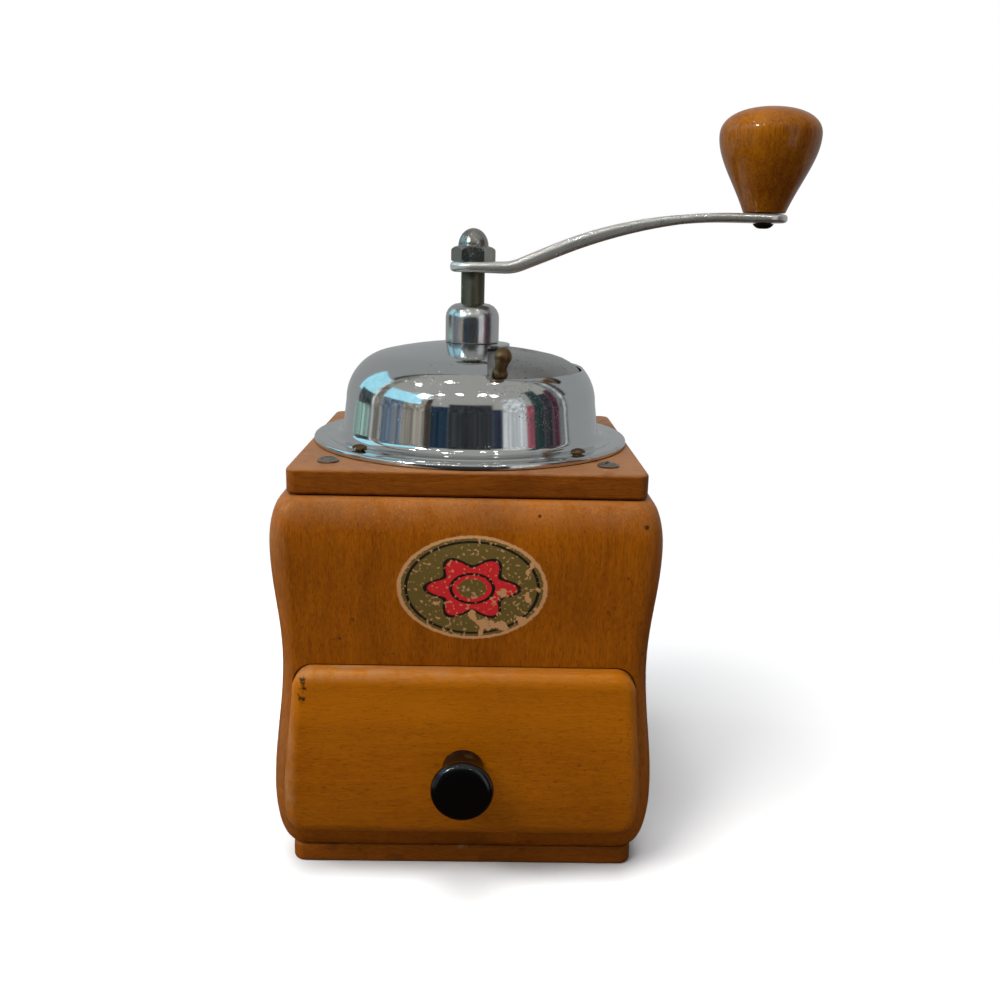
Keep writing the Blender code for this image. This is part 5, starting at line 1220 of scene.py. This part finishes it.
def arm_line(run):
    """Level and slope of the arm's middle at a distance from the spindle."""
    hub = ARM_BOTTOM + ARM_HUB_THICKNESS / 2
    bend_end = ARM_BEND_START + ARM_BEND_RADIUS * sin(ARM_RISE_ANGLE)
    straight_end = bend_end + ARM_STRAIGHT
    sweep_end = CRANK_RADIUS - ARM_FLAT_LENGTH
    sweep = (sweep_end - straight_end) / sin(ARM_RISE_ANGLE)
    bend_rise = ARM_BEND_RADIUS * (1 - cos(ARM_RISE_ANGLE))
    if run <= ARM_BEND_START:
        return hub, 0
    if run <= bend_end:
        slope = asin((run - ARM_BEND_START) / ARM_BEND_RADIUS)
        return hub + ARM_BEND_RADIUS * (1 - cos(slope)), slope
    if run <= straight_end:
        return hub + bend_rise + (run - bend_end) * tan(ARM_RISE_ANGLE), ARM_RISE_ANGLE
    slope = asin(max(0, sweep_end - run) / sweep)
    straight_rise = ARM_STRAIGHT * tan(ARM_RISE_ANGLE)
    top = hub + bend_rise + straight_rise + sweep * (1 - cos(ARM_RISE_ANGLE))
    return top - sweep * (1 - cos(slope)), slope


def arm_strip():
    """The arm cut flat: two half discs, joined, and creased across at every station."""
    bm = bmesh.new()
    for place in (0, CRANK_RADIUS):
        bmesh.ops.create_circle(bm, cap_ends=True, segments=ROUND_SEGMENTS, radius=ARM_WIDTH / 2,
                                matrix=Matrix.Translation((place, 0, 0)))
    merged(bm)
    for place, direction in ((0, 1), (CRANK_RADIUS, -1)):
        near = [face for face in bm.faces if abs(face.calc_center_median().x - place) < ARM_WIDTH]
        bmesh.ops.bisect_plane(bm, geom=around(near), plane_co=(place, 0, 0),
                               plane_no=(direction, 0, 0), clear_outer=True)
    ends = [edge for edge in bm.edges
            if all(min(abs(v.co.x), abs(v.co.x - CRANK_RADIUS)) < MERGE_DISTANCE for v in edge.verts)]
    bmesh.ops.bridge_loops(bm, edges=ends)
    for step in range(1, ARM_STATIONS):
        place = CRANK_RADIUS * step / ARM_STATIONS
        bmesh.ops.bisect_plane(bm, geom=everything(bm), plane_co=(place, 0, 0), plane_no=(1, 0, 0))
    return bm


def make_arm():
    """The crank arm: a waisted strip with round ends, cut flat, thickened and then bent."""
    bm = drawn_out(arm_strip(), (0, 0, ARM_HUB_THICKNESS))
    bmesh.ops.translate(bm, verts=bm.verts, vec=(0, 0, -ARM_HUB_THICKNESS / 2))
    softened(bm, ARM_ROUND, EDGE_STEPS, SQUARE_ANGLE)
    for vert in bm.verts:
        run = min(max(vert.co.x, 0), CRANK_RADIUS)
        share = run / CRANK_RADIUS
        level, slope = arm_line(run)
        swell = ARM_SWELL * sin(pi * min(1, share / ARM_SWELL_SHARE))
        thin = 1 + (ARM_END_THICKNESS / ARM_HUB_THICKNESS - 1) * share + swell
        waist = 1 - (1 - ARM_WAIST_WIDTH / ARM_WIDTH) * sin(pi * share)
        rise = vert.co.z * thin
        vert.co = (vert.co.x - sin(slope) * rise, vert.co.y * waist, level + cos(slope) * rise)
    finished("bent_arm", bm, "crank", ARM, "crank_arm", even=True)


def make_nut():
    """The cap nut: a turned crown and chamfer, sliced to six flats."""
    corner = NUT_FLATS / sqrt(3)
    hex_top = NUT_BOTTOM + NUT_HEX_HEIGHT
    acorn = NUT_TOP - hex_top
    points = [(0, NUT_BOTTOM), (corner - NUT_FOOT_CHAMFER, NUT_BOTTOM),
              (corner, NUT_BOTTOM + NUT_FOOT_CHAMFER), (corner, hex_top - NUT_CHAMFER),
              (corner - NUT_SHOULDER, hex_top), (NUT_ACORN_RADIUS, hex_top)]
    for step in range(1, NUT_ACORN_STEPS + 1):
        angle = pi / 2 * step / NUT_ACORN_STEPS
        points.append((NUT_ACORN_RADIUS * cos(angle), hex_top + acorn * sin(angle)))
    bm = turned(points, [(place, NUT_OUTLINE_ROUND) for place in (3, 4, 5)])
    for side in range(6):
        direction = Matrix.Rotation(pi / 6 + pi / 3 * side, 3, 'Z') @ Vector((1, 0, 0))
        sliced(bm, direction * (NUT_FLATS / 2), direction)
    softened(bm, NUT_EDGE, 2, NUT_ANGLE)
    finished("domed_nut", bm, "crank", NUT, "cap_nut", even=True)


def make_rivet():
    """The handle's rivet and the washer under the handle."""
    low = lowest("handle_pin", Z)
    high = highest("handle_pin", Z)
    under = ARM_END_TOP - ARM_END_THICKNESS - PIN_HEAD_GAP
    seat = HANDLE_TOP - PIN_TOP_DEPTH
    points = [(0, low), (PIN_HEAD_RADIUS - PIN_HEAD_DOME, low),
              (PIN_HEAD_RADIUS, low + PIN_HEAD_RISE), (PIN_HEAD_RADIUS, under),
              (PIN_RADIUS, under), (PIN_RADIUS, seat), (PIN_HEAD_RADIUS, seat),
              (PIN_HEAD_RADIUS, seat + PIN_TOP_EDGE), (0, high)]
    place = Matrix.Translation((CRANK_RADIUS, 0, 0))
    pin = turned(points, PIN_ROUNDING, SMALL_SEGMENTS)
    # The rivet's head under the arm is near-black, partly as painted shade
    finished("handle_rivet", moved(pin, place), "crank", SHADED_RIVET, "handle_pin")
    bottom = lowest("handle_washer", Z)
    top = highest("handle_washer", Z)
    points = [(PIN_RADIUS, bottom), (WASHER_RADIUS, bottom), (WASHER_RADIUS, top), (PIN_RADIUS, top)]
    washer = turned(points, WASHER_ROUNDING, SMALL_SEGMENTS, closed=True)
    finished("handle_collar", moved(washer, place), "crank", BRIGHT, "handle_washer")


def slotted_head(radius, height, shank, length):
    """A domed screw head with a slot along X, over a plain pointed shank."""
    curve = radius * SCREW_DOME_SHARE
    domed = arc((0, height - curve), curve, *SCREW_DOME_ARC)
    points = [(0, height)] + [point for point in domed if point[0] < radius * SCREW_DOME_REACH]
    rim = len(points)
    points += [(radius, height * SCREW_RIM_SHARE), (radius, 0), (shank, 0),
               (shank, shank * 2 - length), (0, -length)]
    rounding = ((rim, SCREW_RIM_ROUND), (rim + 1, SCREW_FOOT_ROUND))
    bm = turned(points, rounding, SMALL_SEGMENTS)
    slot = bmesh.new()
    size = Matrix.Diagonal((radius * 3, SLOT_WIDTH, OVERRUN, 1))
    lift = Matrix.Translation((0, 0, height - SLOT_DEPTH + OVERRUN / 2))
    bmesh.ops.create_cube(slot, size=1, matrix=lift @ size)
    return carved(bm, slot)


def make_screws():
    """The slotted screws of the top board and of the dome's flange."""
    for kind, turns, sizes, finish in (
            ("plate_screw_", PLATE_SCREW_TURNS, PLATE_SCREW, SCREWS),
            ("flange_screw_", FLANGE_SCREW_TURNS, FLANGE_SCREW, OLD_BRASS)):
        radius, height, shank = sizes
        for corner, turn in zip(SCREW_CORNERS, turns):
            name = kind + corner
            seat = highest(name, Z) - height
            bm = slotted_head(radius, height, shank, seat - lowest(name, Z))
            place = Matrix.Translation((middle(name, X), middle(name, Y), seat))
            moved(bm, place @ Matrix.Rotation(radians(turn), 4, 'Z'))
            finished("slotted_" + name, bm, "case", finish, name, even=True)


# What lies inside: the body it rides on, its finish, how far its edges are rounded, its nodes
INNER_PIECES = (
    ("case", PLAIN, 0, ("left_runner", "right_runner", "corner_block_front_left",
                        "corner_block_front_right", "corner_block_back_right",
                        "corner_block_back_left")),
    ("drawer", PLAIN, BOARD_END_ROUND, ("drawer_side_left", "drawer_side_right", "drawer_back",
                                        "drawer_floor")),
    ("case", IRON, 0, ("mill_housing", "upper_bridge", "lower_bridge")),
    ("case", BRIGHT, 0, ("housing_screw_right", "housing_screw_back", "housing_screw_left",
                         "housing_screw_front", "bridge_screw_front", "bridge_screw_back",
                         "bridge_screw_left", "bridge_screw_right", "lock_nut",
                         "spindle_sleeve")),
    ("case", BRASS, 0, ("upper_bush",)),
    ("case", SHAFT, 0, ("burr_ring",)),
    ("crank", SHAFT, 0, ("burr_cone",)),
    ("crank", BRIGHT, 0, ("burr_pin",)),
    ("adjuster", BRASS, 0, ("adjusting_screw",)),
    ("lift", BRIGHT, 0, ("thrust_ball",)),
    ("drawer", BRIGHT, 0, ("drawer_knob_screw",)),
)


def make_inner_pieces():
    """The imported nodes' own shapes, welded and finished."""
    for body, finish, edge, names in INNER_PIECES:
        for name in names:
            bm = bmesh.new()
            bm.from_mesh(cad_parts[name].data)
            bmesh.ops.remove_doubles(bm, verts=bm.verts, dist=MERGE_DISTANCE)
            bmesh.ops.dissolve_limit(bm, angle_limit=FLAT_ANGLE, verts=bm.verts, edges=bm.edges)
            if edge:
                softened(bm, edge, 2, SHEET_ANGLE)
            finished("inner_" + name, bm, body, finish, name, even=True)


# Studio
FLOOR_WHITE = (0.70, 0.70, 0.70, 1)
FLOOR_BOUNCE = (0.32, 0.28, 0.24, 1)
FLOOR_RADIUS = 6
FLOOR_FADE_START = 0.12
FLOOR_FADE_END = 0.38
AMBIENT = (0.80, 0.82, 0.85, 1)
AMBIENT_STRENGTH = 0.42
WHITE = (1, 1, 1, 1)

# Soft lamps: place, size, power and colour of each
LAMP_TARGET = Vector((0, 0, 0.1))
STUDIO_LAMPS = (
    ("key_lamp", (-0.9, -0.9, 1.4), 0.8, 27, (1.0, 0.98, 0.95)),
    ("side_lamp", (-1.3, -0.1, 0.4), 0.8, 12, (0.90, 0.96, 1.0)),
    ("fill_lamp", (1.3, -0.9, 0.6), 1.0, 1.5, (1.0, 0.97, 0.93)),
    ("top_lamp", (-0.1, -0.30, 1.8), 1.0, 32, (1.0, 1.0, 1.0)),
)

# Tent that only gloss sees. Its bearings run from the drawer's side towards plus X, and its
# heights up from level, both in degrees. Each card has two bearings, two heights and a colour;
# each shining spot has a bearing, a height, a radius in degrees and a colour.
TENT_RADIUS = 3
TENT_LEVEL = 0.15
TENT_OPENING = 97
TENT_FOLDS = (22, 4, 0.7)
TENT_FOLD_STRETCH = (1, 1, 0.35)
CARD_SOFTNESS = 0.7
TABLE_HEIGHT = -20
TABLE_SOFTNESS = 3
TABLE_DARK = (0.035, 0.024, 0.015, 1)
TENT_GREY = (0.368, 0.382, 0.386, 1)
CEILING = (0.450, 0.450, 0.425, 1)
SKY = (0.53, 1.08, 1.28)
CARDS = (
    (-88, -41, -90, 22, (0.42, 0.39, 0.34)),
    (-87, -46, 15, 33, SKY),
    (-86, -62, -90, 16, (0.16, 0.21, 0.28)),
    (-71, -69, -90, 9, (0.55, 0.54, 0.50)),
    (-63, -61, -90, 9, (0.50, 0.49, 0.46)),
    (-41, -35, -90, 27, (0.070, 0.055, 0.045)),
    (-35, -19, -90, 14, (0.025, 0.050, 0.085)),
    (-19, 20, -90, 20, (0.045, 0.050, 0.055)),
    (20, 29, -90, 10, (0.025, 0.035, 0.065)),
    (29, 51, -90, 30, (0.72, 0.76, 0.78)),
    (51, 58, -90, 14, (0.40, 0.10, 0.14)),
    (58, 69, -90, 40, (0.030, 0.058, 0.058)),
    (69, 79, -90, 31, (0.050, 0.050, 0.060)),
    (79, 86, -90, 35, (0.090, 0.028, 0.048)),
    (86, 92, -90, 60, (0.200, 0.208, 0.208)),
    (92, 95, -90, 60, (0.750, 0.820, 0.820)),
    (95, 97, -90, 75, (0.120, 0.120, 0.110)),
    (97, 101, 18, 84, (0.040, 0.040, 0.035)),
    (-97, -88, -90, 60, (0.280, 0.270, 0.240)),
    (-99, -96, -90, 40, (0.850, 0.880, 0.860)),
    (-104, -98, 42, 84, (0.050, 0.060, 0.060)),
    (-127, -99, 10, 40, SKY),
    (-121, -99, -3, 14, (0.075, 0.095, 0.100)),
    (-127, -101, -90, -3, (0.360, 0.560, 0.500)),
)
LAMP_GLOW = (120, 120, 114, 1)
WINDOW_GLOW = (65, 82, 96, 1)
GLOW_CORE = 0.6
SHINING_SPOTS = (
    (-67, 50, 1.0, LAMP_GLOW),
    (-31, 38, 0.9, LAMP_GLOW),
    (-11, 42, 0.9, LAMP_GLOW),
    (13, 42, 0.9, LAMP_GLOW),
    (-38, 67, 1.0, LAMP_GLOW),
    (42, 67, 0.8, LAMP_GLOW),
    (25, 39, 0.8, LAMP_GLOW),
    (-46, 31, 3.6, WINDOW_GLOW),
)


def seen_directly(tree):
    """1 for rays from the camera, or by way of metal or glass."""
    path = node(tree, "LightPath").outputs
    camera, gloss, glass = (Field(tree, path[ray]) for ray in (
        "Is Camera Ray", "Is Glossy Ray", "Is Transmission Ray"))
    return camera.most(gloss).most(glass)


def make_world():
    """A white surround that lights softly."""
    world = bpy.data.worlds.new("studio")
    bpy.context.scene.world = world
    world.use_nodes = True
    tree = world.node_tree
    seen = seen_directly(tree)
    background = tree.nodes["Background"]
    feed(tree, background.inputs["Color"], seen.blend(AMBIENT, WHITE))
    feed(tree, background.inputs["Strength"], seen.spread(AMBIENT_STRENGTH, 1.0))


def make_floor():
    """A pale floor that keeps the mill's shadow and fades to white further out."""
    bm = bmesh.new()
    bmesh.ops.create_circle(bm, cap_ends=True, segments=ROUND_SEGMENTS, radius=FLOOR_RADIUS)
    floor = solid("floor", bm)
    material, tree = new_material("floor_paper")
    shader = tree.nodes["Principled BSDF"]
    seen = seen_directly(tree)
    feed(tree, shader.inputs["Base Color"], seen.blend(FLOOR_BOUNCE, FLOOR_WHITE))
    shader.inputs["Roughness"].default_value = 0.9
    shader.inputs["Specular IOR Level"].default_value = 0.0
    far = field(tree, "VectorMath", {0: placed(tree)}, "Value", operation='LENGTH')
    share = far.rise(FLOOR_FADE_START, FLOOR_FADE_END) * seen
    mixed = node(tree, "MixShader", {0: share})
    glow = node(tree, "Emission", {"Color": WHITE, "Strength": 1.0})
    tree.links.new(shader.outputs[0], mixed.inputs[1])
    tree.links.new(glow.outputs[0], mixed.inputs[2])
    tree.links.new(mixed.outputs[0], tree.nodes["Material Output"].inputs["Surface"])
    floor.data.materials.append(material)
    floor.visible_glossy = False


def tent_light(tree):
    """What the tent shows gloss: grey behind, cards and lamps in front, a dark table below."""
    place = placed(tree, shift=(0, 0, -TENT_LEVEL))
    way = field(tree, "VectorMath", {0: place}, operation='NORMALIZE')
    across, depth, up = apart(way)
    bearing = across.reckon('ARCTAN2', depth * -1).reckon('DEGREES')
    height = up.reckon('ARCSINE').reckon('DEGREES')
    opening = bearing.between(-TENT_OPENING, TENT_OPENING, CARD_SOFTNESS)
    light = opening.blend(TENT_GREY, CEILING)
    folds = field(tree, "Mapping", {"Vector": way, "Scale": TENT_FOLD_STRETCH}).noise(*TENT_FOLDS)
    shade = folds.rise(0.40, 0.60).spread(0.45, 1.45)
    for start, end, foot, top, colour in CARDS:
        hung = bearing.between(start, end, CARD_SOFTNESS) * height.between(foot, top, CARD_SOFTNESS)
        folded = shade.scaled(0.2, 0.8) if colour == SKY else shade
        light = hung.blend(light, field(tree, "VectorMath", {0: colour, "Scale": folded},
                                        operation='SCALE'))
    for aim, rising, reach, colour in SHINING_SPOTS:
        flat = cos(radians(rising))
        mark = (sin(radians(aim)) * flat, -cos(radians(aim)) * flat, sin(radians(rising)))
        near = field(tree, "VectorMath", {0: way, 1: mark}, "Value", operation='DOT_PRODUCT')
        glow = near.rise(cos(radians(reach)), cos(radians(reach * GLOW_CORE)))
        light = glow.blend(light, colour)
    below = height.rise(TABLE_HEIGHT + TABLE_SOFTNESS, TABLE_HEIGHT - TABLE_SOFTNESS)
    return below.blend(light, TABLE_DARK)


def make_tent():
    """A closed tent round the mill that only gloss sees."""
    bm = bmesh.new()
    bmesh.ops.create_uvsphere(bm, u_segments=64, v_segments=32, radius=TENT_RADIUS,
                              matrix=Matrix.Translation((0, 0, TENT_LEVEL)))
    tent = solid("card_tent", bm)
    for kind in ("camera", "diffuse", "shadow", "transmission", "volume_scatter"):
        setattr(tent, "visible_" + kind, False)
    material, tree = new_material("tent_cards")
    tree.nodes.remove(tree.nodes["Principled BSDF"])
    emission = node(tree, "Emission", {"Color": tent_light(tree), "Strength": 1.0})
    tree.links.new(emission.outputs[0], tree.nodes["Material Output"].inputs["Surface"])
    tent.data.materials.append(material)


def make_lamps():
    """Soft square lamps aimed at the mill."""
    for name, place, size, power, colour in STUDIO_LAMPS:
        data = bpy.data.lights.new(name, 'AREA')
        data.size = size
        data.energy = power
        data.color = colour
        lamp = linked(name, data)
        lamp.location = place
        lamp.rotation_euler = (LAMP_TARGET - Vector(place)).to_track_quat('-Z', 'Y').to_euler()
        lamp.visible_glossy = False


def make_camera():
    """The photograph's camera."""
    flat = Vector((sin(CAMERA_YAW), cos(CAMERA_YAW), 0))
    ahead = flat * cos(CAMERA_PITCH) + Vector((0, 0, sin(CAMERA_PITCH)))
    level = Vector((cos(CAMERA_YAW), -sin(CAMERA_YAW), 0))
    up = level.cross(ahead)
    right = level * cos(CAMERA_ROLL) + up * sin(CAMERA_ROLL)
    above = up * cos(CAMERA_ROLL) - level * sin(CAMERA_ROLL)
    data = bpy.data.cameras.new("camera")
    data.lens = CAMERA_LENS
    data.sensor_width = CAMERA_SENSOR
    data.clip_start = CAMERA_NEAR
    camera = linked("camera", data)
    axes = Matrix((right, above, -ahead)).transposed().to_4x4()
    camera.matrix_world = Matrix.Translation(CAMERA_PLACE) @ axes
    bpy.context.scene.camera = camera


make_camera()
make_body()
make_drawer_front()
make_slabs()
make_handle()
make_drawer_knob()
make_dome()
make_shutter()
make_bell()
make_spindle()
make_arm()
make_nut()
make_rivet()
make_screws()
make_inner_pieces()
make_world()
make_floor()
make_tent()
make_lamps()
bpy.context.scene.view_settings.view_transform = 'Standard'
